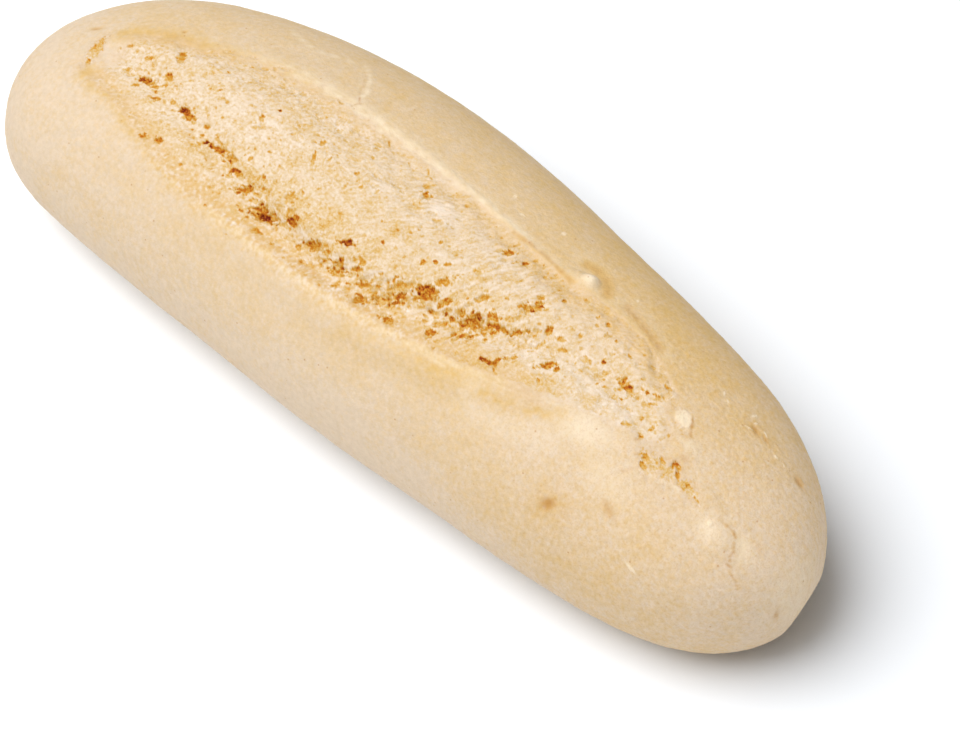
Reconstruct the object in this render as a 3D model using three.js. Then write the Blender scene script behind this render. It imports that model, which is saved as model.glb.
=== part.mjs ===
// A short part-baked baguette with one long score that has torn open in the oven.
// Millimetres, +Z up. X runs along the loaf, towards its narrower end, and Y across it.
// The loaf lies on its flat base, and the origin is the middle of its footprint, on that base.
import * as THREE from "three";

// Driving dimensions of the loaf.
const LENGTH = 200;
const BELLY_HEIGHT = 17; // where the sides stand widest, at mid length
const TIP_HEIGHT = 15.5; // where the two tips are
const BASE_REACH = 20; // how far the underside would go below the belly if no tray held it

// Sizes that change along the loaf, each at even steps from the broad tip to the narrow tip.
const HALF_WIDTH = track([38.5, 35.5, 36, 36, 33, 31.5, 31.5]);
const BOW = track([-5, 0.5, 4, 4, 3, 2, 0.5]); // the loaf lies in a slight curve
const CROWN_HEIGHT = track([42, 43.5, 45, 45.5, 44.5, 43, 41]);

// How round each tip is: outline^power, then its root. Higher is blunter.
const TIP_PLAN = { broad: [3.8, 2], narrow: [4.6, 1.8] };
const TIP_PROFILE = { broad: [3.2, 2.8], narrow: [3.1, 2.9] };
const TIP_UNDERSIDE = { broad: [4.2, 2.9], narrow: [9, 2.2] };
const CROWN_ROUNDNESS = 2.15; // 2 is an ellipse, and higher is squarer
const UNDERSIDE_ROUNDNESS = 2.1;

// The score, as distances along the skin from the ridge line, positive towards -Y. The crust
// opened between the two lips, and the crumb inside pulled apart along the tear.
const FAR_LIP = track([-2, -5.5, -10.5, -11, -10.5, -9, -8.5, 1.5, 3]);
const NEAR_LIP = track([8, 13, 23, 26, 25, 20.5, 11, 8.5, 8]);
const TEAR = track([4, 5, 12, 20, 20.5, 11.5, 2, 5.5, 6]);
const TEAR_DEPTH = track([0, 0.9, 1.7, 2.6, 2.1, 2.4, 0.7, 0.3, 0]);
const TEAR_REACH = 3.4;
const SCORE = { start: -85, startRun: 8, end: 69, endRun: 14 };
const LIP_HOLD = 0.3; // how far round the tip the lips may go, as a share of half the girth
const TEAR_HOLD = 0.2; // how near a lip the tear may come, as a share of the open width

// The rolled crust beside the score, and the bed of crumb inside it.
const NEAR_ROLL = { height: 1.5, offset: 2.4, reach: 2.8 };
const FAR_RIM = { height: 1.1, offset: 0, reach: 1.5 };
const FAR_GROOVE = { height: -0.7, offset: -4.6, reach: 2.4 };
const LIP_STEP = { depth: 1.2, run: 2.5 };
const CRUMB_CROWN = { height: 1.3, at: 0.5, reach: 0.35 };
const CRUMB_RELIEF = { height: 0.6, grain: 6 };
const SKIN_RELIEF = { height: 0.5, grain: 24 };

// Single features: place along the loaf, place across it, length, width, height and turn.
const FEATURES = [
  { name: "slit at the broad end", x: -81, a: 5, length: 11, width: 5, height: -1.5, turn: 1.35 },
  { name: "pocket at the broad end", x: -65, a: 8, length: 9, width: 5, height: -0.9, turn: 0.2 },
  { name: "pocket before the middle", x: -43, a: 14, length: 10, width: 5, height: -1, turn: 0.1 },
  { name: "deep pocket", x: -25, a: 20, length: 9, width: 6, height: -1.5, turn: 0 },
  { name: "pocket in the near wall", x: 2, a: 21, length: 10, width: 6, height: -1, turn: -0.3 },
  { name: "deepest pocket", x: 11.5, a: 14, length: 10, width: 7, height: -1.8, turn: -0.6 },
  { name: "long pocket", x: 24, a: 11, length: 12, width: 6, height: -1, turn: -0.35 },
  { name: "second tear", x: 72.5, a: 6, length: 16, width: 8, height: -1.8, turn: -0.25 },
  { name: "crust bridge", x: 64, a: 7, length: 9, width: 6, height: 0.8, turn: 0.5 },
  { name: "raised ring", x: 85, a: 9, length: 10, width: 9, height: 0.6, turn: 0 },
  { name: "blister", x: 33, a: -12, length: 9, width: 7, height: 2, turn: 0 },
  { name: "dip past the blister", x: 33, a: -18, length: 12, width: 7, height: -0.7, turn: 0 },
  { name: "dimple in the side", x: 56.5, a: 28, length: 8, width: 7, height: -0.9, turn: 0.6 },
  { name: "dimple near the tip", x: 87, a: -15, length: 8, width: 7, height: -0.8, turn: 0 },
];

// The mesh: rings along the loaf, and strips down the far side, across the crumb on each side
// of the tear, and down the near side. The side strips are narrower towards the lips.
const RINGS = 118;
const STRIPS = { far: 14, bed: 9, wall: 5, near: 13 };
const SIDE_CROWDING = 1.5;
const ARC_SAMPLES = 96; // on each half of a ring, to measure along the skin

const CRUST = new THREE.MeshStandardMaterial({ color: 0xe6cda2, roughness: 0.7, metalness: 0 });

// A smooth curve through values at even steps, read with u from -1 to 1.
function track(values) {
  const curve = new THREE.SplineCurve(values.map((v, i) => new THREE.Vector2(i, v)));
  return (u) => curve.getPoint((u + 1) / 2).y;
}

// How much of its full size the loaf keeps at u, from 1 at the middle to 0 at a tip.
function taper(u, shape) {
  const [power, root] = u > 0 ? shape.narrow : shape.broad;
  return Math.max(1 - Math.abs(u) ** power, 0) ** (1 / root);
}

// A point on the smooth loaf. The angle is 0 at the +Y belly and a quarter turn at the crown.
function skinPoint(u, angle) {
  const halfWidth = HALF_WIDTH(u) * taper(u, TIP_PLAN);
  const belly = THREE.MathUtils.lerp(BELLY_HEIGHT, TIP_HEIGHT, u ** 4);
  const [c, s] = [Math.cos(angle), Math.sin(angle)];
  const y = BOW(u) + halfWidth * Math.sign(c) * Math.abs(c) ** (2 / CROWN_ROUNDNESS);
  const rise = (CROWN_HEIGHT(u) - belly) * taper(u, TIP_PROFILE) * Math.abs(s) ** (2 / CROWN_ROUNDNESS);
  const fall = BASE_REACH * taper(u, TIP_UNDERSIDE) * Math.abs(s) ** (2 / UNDERSIDE_ROUNDNESS);
  const z = s >= 0 ? belly + rise : Math.max(belly - fall, 0);
  return new THREE.Vector3((u * LENGTH) / 2, y, z);
}

// Angles and distances along the skin from the crown down one side, with side -1 for +Y.
function skinDistances(u, side) {
  const samples = [];
  let last = null;
  let distance = 0;
  for (let i = 0; i <= ARC_SAMPLES; i++) {
    const angle = Math.PI / 2 + (side * Math.PI * i) / ARC_SAMPLES;
    const point = skinPoint(u, angle);
    distance += last ? point.distanceTo(last) : 0;
    samples.push({ angle, distance });
    last = point;
  }
  return samples;
}

// The angle at a given distance along the samples of one side.
function angleAt(samples, distance) {
  const i = samples.findIndex((s) => s.distance >= distance);
  if (i <= 0) return samples[i === 0 ? 0 : samples.length - 1].angle;
  const [a, b] = [samples[i - 1], samples[i]];
  return THREE.MathUtils.mapLinear(distance, a.distance, b.distance, a.angle, b.angle);
}

// Smooth noise from 0 to 1, the same each time.
function noise(x, y) {
  const [i, j] = [Math.floor(x), Math.floor(y)];
  const corner = (m, n) => {
    const value = Math.sin(m * 127.1 + n * 311.7) * 43758.5453;
    return value - Math.floor(value);
  };
  const [s, t] = [THREE.MathUtils.smoothstep(x - i, 0, 1), THREE.MathUtils.smoothstep(y - j, 0, 1)];
  const low = THREE.MathUtils.lerp(corner(i, j), corner(i + 1, j), s);
  const high = THREE.MathUtils.lerp(corner(i, j + 1), corner(i + 1, j + 1), s);
  return THREE.MathUtils.lerp(low, high, t);
}

const bell = (distance, reach) => Math.exp(-((distance / reach) ** 2));
const bumps = ({ height, grain }, x, a) => height * (noise(x / grain, a / grain) - 0.5);

// How far one feature lifts or sinks the skin, as a smooth mound inside an ellipse.
function featureHeight(feature, x, a) {
  const [c, s] = [Math.cos(feature.turn), Math.sin(feature.turn)];
  const along = (((x - feature.x) * c + (a - feature.a) * s) * 2) / feature.length;
  const across = (((a - feature.a) * c - (x - feature.x) * s) * 2) / feature.width;
  return feature.height * Math.max(1 - along ** 2 - across ** 2, 0) ** 1.5;
}

// The lips and the tear at u, kept apart and on the top of the loaf where it narrows to a tip.
function scoreLines(u, farEnd, nearEnd) {
  const { clamp, lerp } = THREE.MathUtils;
  const far = clamp(FAR_LIP(u), farEnd * LIP_HOLD, 0);
  const near = clamp(NEAR_LIP(u), 0, nearEnd * LIP_HOLD);
  const tear = clamp(TEAR(u), lerp(far, near, TEAR_HOLD), lerp(near, far, TEAR_HOLD));
  return { far, tear, near };
}

// How far the skin stands out from the smooth loaf at distance a from the ridge line.
function relief(u, a, { far, tear, near }) {
  const x = (u * LENGTH) / 2;
  const { smoothstep } = THREE.MathUtils;
  const open =
    smoothstep(x, SCORE.start, SCORE.start + SCORE.startRun) *
    (1 - smoothstep(x, SCORE.end - SCORE.endRun, SCORE.end));
  const beside = (p, lip) => p.height * bell(a - lip - p.offset, p.reach);
  const lips = beside(NEAR_ROLL, near) + beside(FAR_RIM, far) + beside(FAR_GROOVE, far);
  const inside = smoothstep(Math.min(a - far, near - a), 0, LIP_STEP.run);
  const crown = CRUMB_CROWN.height * bell((a - far) / (tear - far) - CRUMB_CROWN.at, CRUMB_CROWN.reach);
  const valley = TEAR_DEPTH(u) * bell(a - tear, TEAR_REACH);
  const crumb = inside * (crown - valley - LIP_STEP.depth + bumps(CRUMB_RELIEF, x, a));
  const skin = open * (crumb + lips) + bumps(SKIN_RELIEF, x, a);
  return FEATURES.reduce((sum, feature) => sum + featureHeight(feature, x, a), skin);
}

// One ring of points round the loaf, from the middle of the base up the +Y side and over.
function ring(u) {
  const sides = { far: skinDistances(u, -1), near: skinDistances(u, 1) };
  const farEnd = -sides.far.at(-1).distance;
  const nearEnd = sides.near.at(-1).distance;
  const lines = scoreLines(u, farEnd, nearEnd);
  const across = [
    ...spread(lines.far, farEnd, STRIPS.far, SIDE_CROWDING).reverse(),
    ...spread(lines.far, lines.tear, STRIPS.bed, 1).slice(1),
    ...spread(lines.tear, lines.near, STRIPS.wall, 1).slice(1),
    ...spread(lines.near, nearEnd, STRIPS.near, SIDE_CROWDING).slice(1, -1),
  ];
  return across.map((a) => {
    const angle = a < 0 ? angleAt(sides.far, -a) : angleAt(sides.near, a);
    return raisedPoint(u, angle, relief(u, a, lines));
  });
}

// Places from start to end, crowded towards the start where the crowding is over 1.
function spread(start, end, count, crowding) {
  const place = (i) => THREE.MathUtils.lerp(start, end, (i / count) ** crowding);
  return Array.from({ length: count + 1 }, (_, i) => place(i));
}

// A skin point moved out along the smooth loaf's normal, and never below the tray.
function raisedPoint(u, angle, height) {
  const step = 1e-3;
  const point = skinPoint(u, angle);
  const along = skinPoint(Math.min(u + step, 1), angle).sub(skinPoint(Math.max(u - step, -1), angle));
  const round = skinPoint(u, angle + step).sub(skinPoint(u, angle - step));
  const normal = round.cross(along).normalize();
  const lifted = THREE.MathUtils.smoothstep(point.z, 0, 6);
  point.addScaledVector(normal, height * lifted);
  point.z = Math.max(point.z, 0);
  return point;
}

// The whole skin: rings closer together towards the tips, closed by a point at each tip.
function loafGeometry() {
  const points = [skinPoint(-1, 0)];
  for (let i = 1; i < RINGS; i++) {
    points.push(...ring(-Math.cos((Math.PI * i) / RINGS)));
  }
  points.push(skinPoint(1, 0));
  const round = STRIPS.far + STRIPS.bed + STRIPS.wall + STRIPS.near;
  const at = (i, j) => 1 + (i - 1) * round + (j % round);
  const faces = [];
  for (let j = 0; j < round; j++) {
    faces.push(0, at(1, j + 1), at(1, j));
    for (let i = 1; i < RINGS - 1; i++) {
      faces.push(at(i, j), at(i + 1, j + 1), at(i + 1, j));
      faces.push(at(i, j), at(i, j + 1), at(i + 1, j + 1));
    }
    faces.push(points.length - 1, at(RINGS - 1, j), at(RINGS - 1, j + 1));
  }
  const geometry = new THREE.BufferGeometry().setFromPoints(points);
  geometry.setIndex(faces);
  geometry.computeVertexNormals();
  return geometry;
}

// The baguette, moved so that the origin is the middle of its footprint.
function baguette() {
  const mesh = new THREE.Mesh(loafGeometry(), CRUST);
  mesh.name = "baguette";
  mesh.geometry.computeBoundingBox();
  const middle = mesh.geometry.boundingBox.getCenter(new THREE.Vector3());
  mesh.position.set(-middle.x, -middle.y, 0);
  return mesh;
}

const loaf = new THREE.Group();
loaf.add(baguette());

export default loaf;
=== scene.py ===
"""The looks of a short part-baked baguette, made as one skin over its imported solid.

Sizes are in millimetres, and only what is handed to Blender is in metres. A place on the loaf is given by
x, the distance along the loaf from its middle towards the narrow tip, and by a, the distance round the
skin from the ridge line, which grows towards -Y. The same place along the loaf as a share of half its
length, from -1 at the broad tip to 1 at the narrow tip, is called u.
"""
import logging
import math
from collections.abc import Sequence
from dataclasses import dataclass, field
from enum import Enum

import bpy
import numpy as np
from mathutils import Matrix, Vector


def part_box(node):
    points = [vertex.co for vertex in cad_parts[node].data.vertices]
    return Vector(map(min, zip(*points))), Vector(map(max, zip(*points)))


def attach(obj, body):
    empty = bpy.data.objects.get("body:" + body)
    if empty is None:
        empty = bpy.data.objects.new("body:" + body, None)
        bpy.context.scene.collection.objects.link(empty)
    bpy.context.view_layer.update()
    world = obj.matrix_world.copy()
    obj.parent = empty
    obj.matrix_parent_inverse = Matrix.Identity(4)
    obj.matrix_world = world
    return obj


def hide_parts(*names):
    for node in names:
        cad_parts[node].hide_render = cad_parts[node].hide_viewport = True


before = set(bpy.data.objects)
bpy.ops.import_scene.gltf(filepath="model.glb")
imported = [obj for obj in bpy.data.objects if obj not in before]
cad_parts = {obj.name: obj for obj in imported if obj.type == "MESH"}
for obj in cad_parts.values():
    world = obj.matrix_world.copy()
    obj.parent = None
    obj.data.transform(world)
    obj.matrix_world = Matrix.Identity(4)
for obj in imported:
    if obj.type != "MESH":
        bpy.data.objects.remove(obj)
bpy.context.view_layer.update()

Array = np.ndarray
MM = 0.001
NODE = "baguette"
NODE_LOW, NODE_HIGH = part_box(NODE)
NODE_LENGTH = NODE_HIGH.x - NODE_LOW.x
LOG = logging.getLogger("baguette")


# ---------------------------------------------------------------- curves and noise


def smoothstep(value: Array, start: float, end: float) -> Array:
    """Rise smoothly from 0 at start to 1 at end."""
    t = np.clip((value - start) / (end - start), 0, 1)
    return t * t * (3 - 2 * t)


def bell(distance: Array, reach: float) -> Array:
    """Fall smoothly from 1 at distance 0 to almost 0 past twice the reach."""
    return np.exp(-((distance / reach) ** 2))


def track(values: Sequence[float], u: Array) -> Array:
    """Read a smooth curve through values at even steps.

    Args:
        values: the curve's values, the first at u = -1 and the last at u = 1.
        u: where to read it.

    Returns:
        The curve's value at each u.
    """
    knots = np.array([values[0], *values, values[-1]], float)
    place = (np.clip(u, -1, 1) + 1) / 2 * (len(values) - 1)
    i = np.clip(np.floor(place).astype(int), 0, len(values) - 2)
    t = place - i
    a, b, c, d = (knots[i + k] for k in range(4))
    return 0.5 * (2 * b + (c - a) * t + (2 * a - 5 * b + 4 * c - d) * t**2 + (3 * b - a - 3 * c + d) * t**3)


def corner_values(i: Array, j: Array, seed: int, channel: int = 0) -> Array:
    """Give each cell of an endless grid its own random number.

    Args:
        i: the cell's whole number along the first way.
        j: the cell's whole number along the second way.
        seed: chooses the set of numbers.
        channel: chooses one of several numbers for the same cell.

    Returns:
        Numbers from 0 to 1, the same each time.
    """
    n = (i * 374761393 + j * 668265263 + (seed * 1013 + channel * 7919 + 17) * 1274126177) & 0xFFFFFFFF
    n = ((n ^ (n >> 13)) * 1103515245) & 0xFFFFFFFF
    n = ((n ^ (n >> 16)) * 2246822519) & 0xFFFFFFFF
    return ((n ^ (n >> 15)) & 0xFFFFFF) / 0xFFFFFF


def noise(x: Array, y: Array, seed: int) -> Array:
    """Make soft random hills.

    Args:
        x: first coordinate, in hills.
        y: second coordinate, in hills.
        seed: chooses the pattern.

    Returns:
        Heights from about -1 to 1.
    """
    i, j = np.floor(x).astype(np.int64), np.floor(y).astype(np.int64)
    fx, fy = x - i, y - j
    sx, sy = smoothstep(fx, 0, 1), smoothstep(fy, 0, 1)

    def slope(m: int, n: int) -> Array:
        """Height that the random slope at one corner of the cell gives."""
        turn = corner_values(i + m, j + n, seed) * 2 * math.pi
        return np.cos(turn) * (fx - m) + np.sin(turn) * (fy - n)

    low = slope(0, 0) * (1 - sx) + slope(1, 0) * sx
    high = slope(0, 1) * (1 - sx) + slope(1, 1) * sx
    return 1.5 * (low * (1 - sy) + high * sy)


def fractal(x: Array, y: Array, seed: int, octaves: int = 3) -> Array:
    """Add finer and weaker layers of noise, each half the size of the last."""
    layers = [noise(x * 2**k, y * 2**k, seed + k) / 2**k for k in range(octaves)]
    return sum(layers) / (2 - 2 ** (1 - octaves))


@dataclass(frozen=True)
class Unevenness:
    """Soft random unevenness of some strength round a middle value.

    Its length is the size of its largest spots along the loaf, and its width their size round the skin.
    """

    strength: float
    length: float
    width: float
    seed: int
    octaves: int = 3
    middle: float = 0.0
    shift: tuple[float, float] = (0.0, 0.0)

    def read(self, x: Array, a: Array) -> Array:
        """Read it at places along the loaf and round the skin."""
        along, across = x / self.length + self.shift[0], a / self.width + self.shift[1]
        return self.middle + self.strength * fractal(along, across, self.seed, self.octaves)


@dataclass(frozen=True)
class Fade:
    """A smooth loss of a share of something, from one place to another."""

    loss: float
    start: float
    end: float

    def read(self, place: Array) -> Array:
        """Give the share that is left, which is 1 before the start."""
        return 1 - self.loss * smoothstep(place, self.start, self.end)


# ---------------------------------------------------------------- the loaf's form


@dataclass(frozen=True)
class TipShape:
    """How blunt a tip is: the outline is (1 - u^power)^(1/root), and higher is blunter."""

    power: float
    root: float


@dataclass(frozen=True)
class LoafForm:
    """The smooth loaf under the score, as it lies on its flat base."""

    length: float = 200.0
    belly_height: float = 17.0
    tip_height: float = 15.5
    base_reach: float = 20.0
    half_width: tuple[float, ...] = (38.5, 35.5, 36, 36, 33, 31.5, 31.5)
    bow: tuple[float, ...] = (-5, 0.5, 4, 4, 3, 2, 0.5)
    crown_height: tuple[float, ...] = (42, 43.5, 45, 45.5, 44.5, 43, 41)
    plan: tuple[TipShape, TipShape] = (TipShape(3.8, 2), TipShape(4.6, 1.8))
    profile: tuple[TipShape, TipShape] = (TipShape(3.2, 2.8), TipShape(3.1, 2.9))
    underside: tuple[TipShape, TipShape] = (TipShape(4.2, 2.9), TipShape(9, 2.2))
    crown_roundness: float = 2.15
    underside_roundness: float = 2.1

    @staticmethod
    def taper(u: Array, tips: tuple[TipShape, TipShape]) -> Array:
        """Give the share of its full size that the loaf keeps at u.

        Args:
            u: where along the loaf.
            tips: the shapes of the broad and the narrow tip.

        Returns:
            1 at the middle of the loaf, down to 0 at a tip.
        """
        broad, narrow = tips
        power = np.where(u > 0, narrow.power, broad.power)
        root = np.where(u > 0, narrow.root, broad.root)
        return np.clip(1 - np.abs(u) ** power, 0, 1) ** (1 / root)

    def points(self, u: Array, angle: Array) -> Array:
        """Give points on the smooth loaf.

        Args:
            u: where along the loaf.
            angle: 0 at the +Y belly and a quarter turn at the crown.

        Returns:
            The points, with X, Y and Z on the last axis.
        """
        u, angle = np.broadcast_arrays(np.clip(u, -1, 1), angle)
        half = track(self.half_width, u) * self.taper(u, self.plan)
        belly = self.belly_height + (self.tip_height - self.belly_height) * u**4
        c, s = np.cos(angle), np.sin(angle)
        y = track(self.bow, u) + half * np.sign(c) * np.abs(c) ** (2 / self.crown_roundness)
        crown = (track(self.crown_height, u) - belly) * self.taper(u, self.profile)
        rise = crown * np.abs(s) ** (2 / self.crown_roundness)
        fall = self.base_reach * self.taper(u, self.underside) * np.abs(s) ** (2 / self.underside_roundness)
        z = np.where(s >= 0, belly + rise, np.maximum(belly - fall, 0))
        return np.stack([u * self.length / 2, y, z], axis=-1)

    def normals(self, u: Array, angle: Array, step: float = 1e-3) -> Array:
        """Give the directions straight out of the smooth loaf.

        Args:
            u: where along the loaf.
            angle: 0 at the +Y belly and a quarter turn at the crown.
            step: how far apart the points are that the slopes are taken from.

        Returns:
            The directions, each of length 1.
        """
        along = self.points(u + step, angle) - self.points(u - step, angle)
        around = self.points(u, angle + step) - self.points(u, angle - step)
        out = np.cross(around, along)
        return out / np.maximum(np.linalg.norm(out, axis=-1, keepdims=True), 1e-12)

    def unrolled(self, u: Array, side: int, steps: int = 400) -> tuple[Array, Array]:
        """Measure along the skin from the ridge line to the middle of the base.

        Args:
            u: where along the loaf, one number for each ring.
            side: -1 for the +Y side and 1 for the -Y side.
            steps: how many angles to measure at.

        Returns:
            The angles, and the distance to each of them on each ring.
        """
        angle = math.pi / 2 + side * math.pi * np.arange(steps + 1) / steps
        points = self.points(u[:, None], angle[None, :])
        legs = np.linalg.norm(np.diff(points, axis=1), axis=2)
        return angle, np.concatenate([np.zeros((len(u), 1)), np.cumsum(legs, axis=1)], axis=1)


@dataclass(frozen=True)
class SkinLayout:
    """How closely the skin's grid of points is set, finest over the top of the loaf."""

    fine_from: float = -15.0
    fine_to: float = 29.0
    fine_lines: int = 190
    far_lines: int = 42
    near_lines: int = 40
    crowding: float = 1.5
    girth_share: float = 0.48
    ring_step: float = 0.24
    tip_run: float = 14.0
    tip_rings: int = 50

    def rings(self, form: LoafForm) -> Array:
        """Place the rings along the loaf, closer together towards the tips.

        Args:
            form: the smooth loaf.

        Returns:
            The place u of each ring.
        """
        half = form.length / 2
        turn = math.pi / 2 * np.arange(1, self.tip_rings) / self.tip_rings
        tip = half - self.tip_run * (1 - np.cos(turn))
        straight = half - self.tip_run
        count = round(2 * straight / self.ring_step)
        middle = np.linspace(-straight, straight, count + 1)
        return np.concatenate([-tip, middle, tip[::-1]]) / half

    def lines(self, far_end: float, near_end: float) -> Array:
        """Give the places of one ring's points.

        Args:
            far_end: where the skin meets the middle of the base on the far side, below 0.
            near_end: the same on the near side, above 0.

        Returns:
            Distances from the ridge line, from far_end up to just before near_end.
        """
        fine_from = max(self.fine_from, far_end * self.girth_share)
        fine_to = min(self.fine_to, near_end * self.girth_share)
        far_share = (np.arange(self.far_lines, 0, -1) / self.far_lines) ** self.crowding
        near_share = (np.arange(1, self.near_lines) / self.near_lines) ** self.crowding
        far = fine_from + (far_end - fine_from) * far_share
        fine = np.linspace(fine_from, fine_to, self.fine_lines)
        near = fine_to + (near_end - fine_to) * near_share
        return np.concatenate([far, fine, near])


@dataclass
class Skin:
    """The grid of points that the loaf's surface is made from, one row for each ring."""

    u: Array
    x: Array
    a: Array
    points: Array
    normals: Array

    @classmethod
    def laid_out(cls, form: LoafForm, layout: SkinLayout) -> "Skin":
        """Lay the grid over the smooth loaf.

        Args:
            form: the smooth loaf.
            layout: how closely the points are set.

        Returns:
            The grid.
        """
        u = layout.rings(form)
        far_angle, far_distance = form.unrolled(u, -1)
        near_angle, near_distance = form.unrolled(u, 1)
        a = np.array([layout.lines(-f, n) for f, n in zip(far_distance[:, -1], near_distance[:, -1])])
        angle = np.empty_like(a)
        for i, row in enumerate(a):
            far = np.interp(-row, far_distance[i], far_angle)
            near = np.interp(row, near_distance[i], near_angle)
            angle[i] = np.where(row < 0, far, near)
        column = u[:, None]
        return cls(u, column * form.length / 2, a, form.points(column, angle), form.normals(column, angle))


# ---------------------------------------------------------------- marks on the skin

TONE_REACH = 0.75  # how far a mark's tone spreads, where 1 is the mark's edge


@dataclass(frozen=True)
class Mark:
    """A spot on the skin: its place, its size, how far it lifts, and how brown it is, or how pale below 0.

    It is turned from x towards a, in radians. The web says how much thin walls break a hollow up, from 0
    where it is one bowl to 1.
    """

    name: str
    x: float
    a: float
    length: float
    width: float
    height: float = 0.0
    shade: float = 0.0
    turn: float = 0.0
    web: float = 0.8

    def inside(self, x: Array, a: Array) -> Array:
        """Measure how far places are from the middle of the mark.

        Args:
            x: places along the loaf.
            a: places round the skin.

        Returns:
            The distances, where 1 is the mark's edge.
        """
        c, s = math.cos(self.turn), math.sin(self.turn)
        along = ((x - self.x) * c + (a - self.a) * s) * 2 / self.length
        across = ((a - self.a) * c - (x - self.x) * s) * 2 / self.width
        return np.hypot(along, across)

    def tone(self, x: Array, a: Array) -> Array:
        """Give the mark's shade, full at its middle and soft past its edge."""
        return self.shade * bell(self.inside(x, a), TONE_REACH)


@dataclass(frozen=True)
class Band:
    """A soft band of tone beside a line along the loaf.

    Its start and its end each say where along the loaf it is gone, and where it is full.
    """

    offset: float
    reach: float
    strength: float
    start: tuple[float, float] = (-102.0, -101.0)
    end: tuple[float, float] = (102.0, 101.0)

    def read(self, x: Array, away: Array) -> Array:
        """Give the band's strength.

        Args:
            x: places along the loaf.
            away: how far they are from the line, above 0 on its near side.

        Returns:
            The strength at each place.
        """
        along = smoothstep(x, *self.start) * smoothstep(x, *self.end)
        return self.strength * bell(away - self.offset, self.reach) * along


@dataclass(frozen=True)
class Crack:
    """A line in the crust, along points given as x and a: a crack, or a ridge where its depth is negative.

    It is browned by its shade, dusted with flour by its pale and tinted by its gold.
    """

    points: tuple[tuple[float, float], ...]
    width: float = 0.45
    depth: float = 0.3
    shade: float = 0.35
    pale: float = 0.0
    gold: float = 0.0

    def distance(self, x: Array, a: Array) -> Array:
        """Measure how far places are from the crack.

        Args:
            x: places along the loaf.
            a: places round the skin.

        Returns:
            The distance from each place to the nearest point of the crack.
        """
        nearest = np.full(np.broadcast_shapes(x.shape, a.shape), np.inf)
        for (x0, a0), (x1, a1) in zip(self.points, self.points[1:]):
            dx, da = x1 - x0, a1 - a0
            t = np.clip(((x - x0) * dx + (a - a0) * da) / (dx * dx + da * da), 0, 1)
            nearest = np.minimum(nearest, np.hypot(x - x0 - t * dx, a - a0 - t * da))
        return nearest


@dataclass(frozen=True)
class Foam:
    """One size of torn-open bubbles in the crumb, on a jittered grid of cells.

    The smallest and the largest radius are shares of a cell, and bubbles are longer along the crumb's pull
    by the stretch. The least depth and the least shade are shares of the full ones.
    """

    cell: float
    share: float
    depth: float
    shade: float
    seed: int
    stretch: float = 1.4
    smallest: float = 0.13
    largest: float = 0.3
    least_depth: float = 0.4
    least_shade: float = 0.45
    brown_fades: tuple[float, float] = (0.45, 1.05)

    def read(self, along: Array, across: Array, crowd: Array | float = 1.0) -> tuple[Array, Array]:
        """Find how deep and how brown the bubbles make each place.

        Args:
            along: places along the bubbles' long way.
            across: places across it.
            crowd: how crowded the bubbles are, as a share of the most.

        Returns:
            The height, which is 0 or less, and the shade.
        """
        p, q = along / (self.cell * self.stretch), across / self.cell
        i, j = np.floor(p).astype(np.int64), np.floor(q).astype(np.int64)
        height, shade = np.zeros(p.shape), np.zeros(p.shape)
        for m in (-1, 0, 1):
            for n in (-1, 0, 1):
                chance, dx, dy, size, tone = (corner_values(i + m, j + n, self.seed, k) for k in range(5))
                radius = self.smallest + (self.largest - self.smallest) * size**2
                away = np.hypot(p - i - m - dx, q - j - n - dy) / radius
                there = chance < self.share * crowd
                bowl = np.clip(1 - away**2, 0, 1) * there
                deep = self.least_depth + (1 - self.least_depth) * size
                height = np.minimum(height, -self.depth * deep * bowl)
                spot = (1 - smoothstep(away, *self.brown_fades)) * there
                brown = self.least_shade + (1 - self.least_shade) * tone
                shade = np.maximum(shade, self.shade * brown * spot)
        return height, shade


class Layer(Enum):
    """The numbers that each point of the skin carries for its material."""

    CRUMB = "crumb"
    SHADE = "shade"
    GOLD = "gold"
    PALE = "pale"
    GRAIN = "grain"


@dataclass
class Relief:
    """The height of the skin over the smooth loaf, and the layers that its material reads."""

    height: Array
    layers: dict[Layer, Array]

    @classmethod
    def flat(cls, shape: tuple[int, ...]) -> "Relief":
        """Start with a smooth, plain skin."""
        return cls(np.zeros(shape), {layer: np.zeros(shape) for layer in Layer})

    def add(self, layer: Layer, amount: Array) -> None:
        """Add to one layer."""
        self.layers[layer] = self.layers[layer] + amount

    def raise_to(self, layer: Layer, amount: Array) -> None:
        """Bring one layer up to an amount where it is less."""
        self.layers[layer] = np.maximum(self.layers[layer], amount)


# ---------------------------------------------------------------- the score and its crumb


@dataclass(frozen=True)
class Lines:
    """Where the far lip, the tear and the near lip lie at each point, and how far open the score is."""

    far: Array
    tear: Array
    near: Array
    opening: Array


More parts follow.
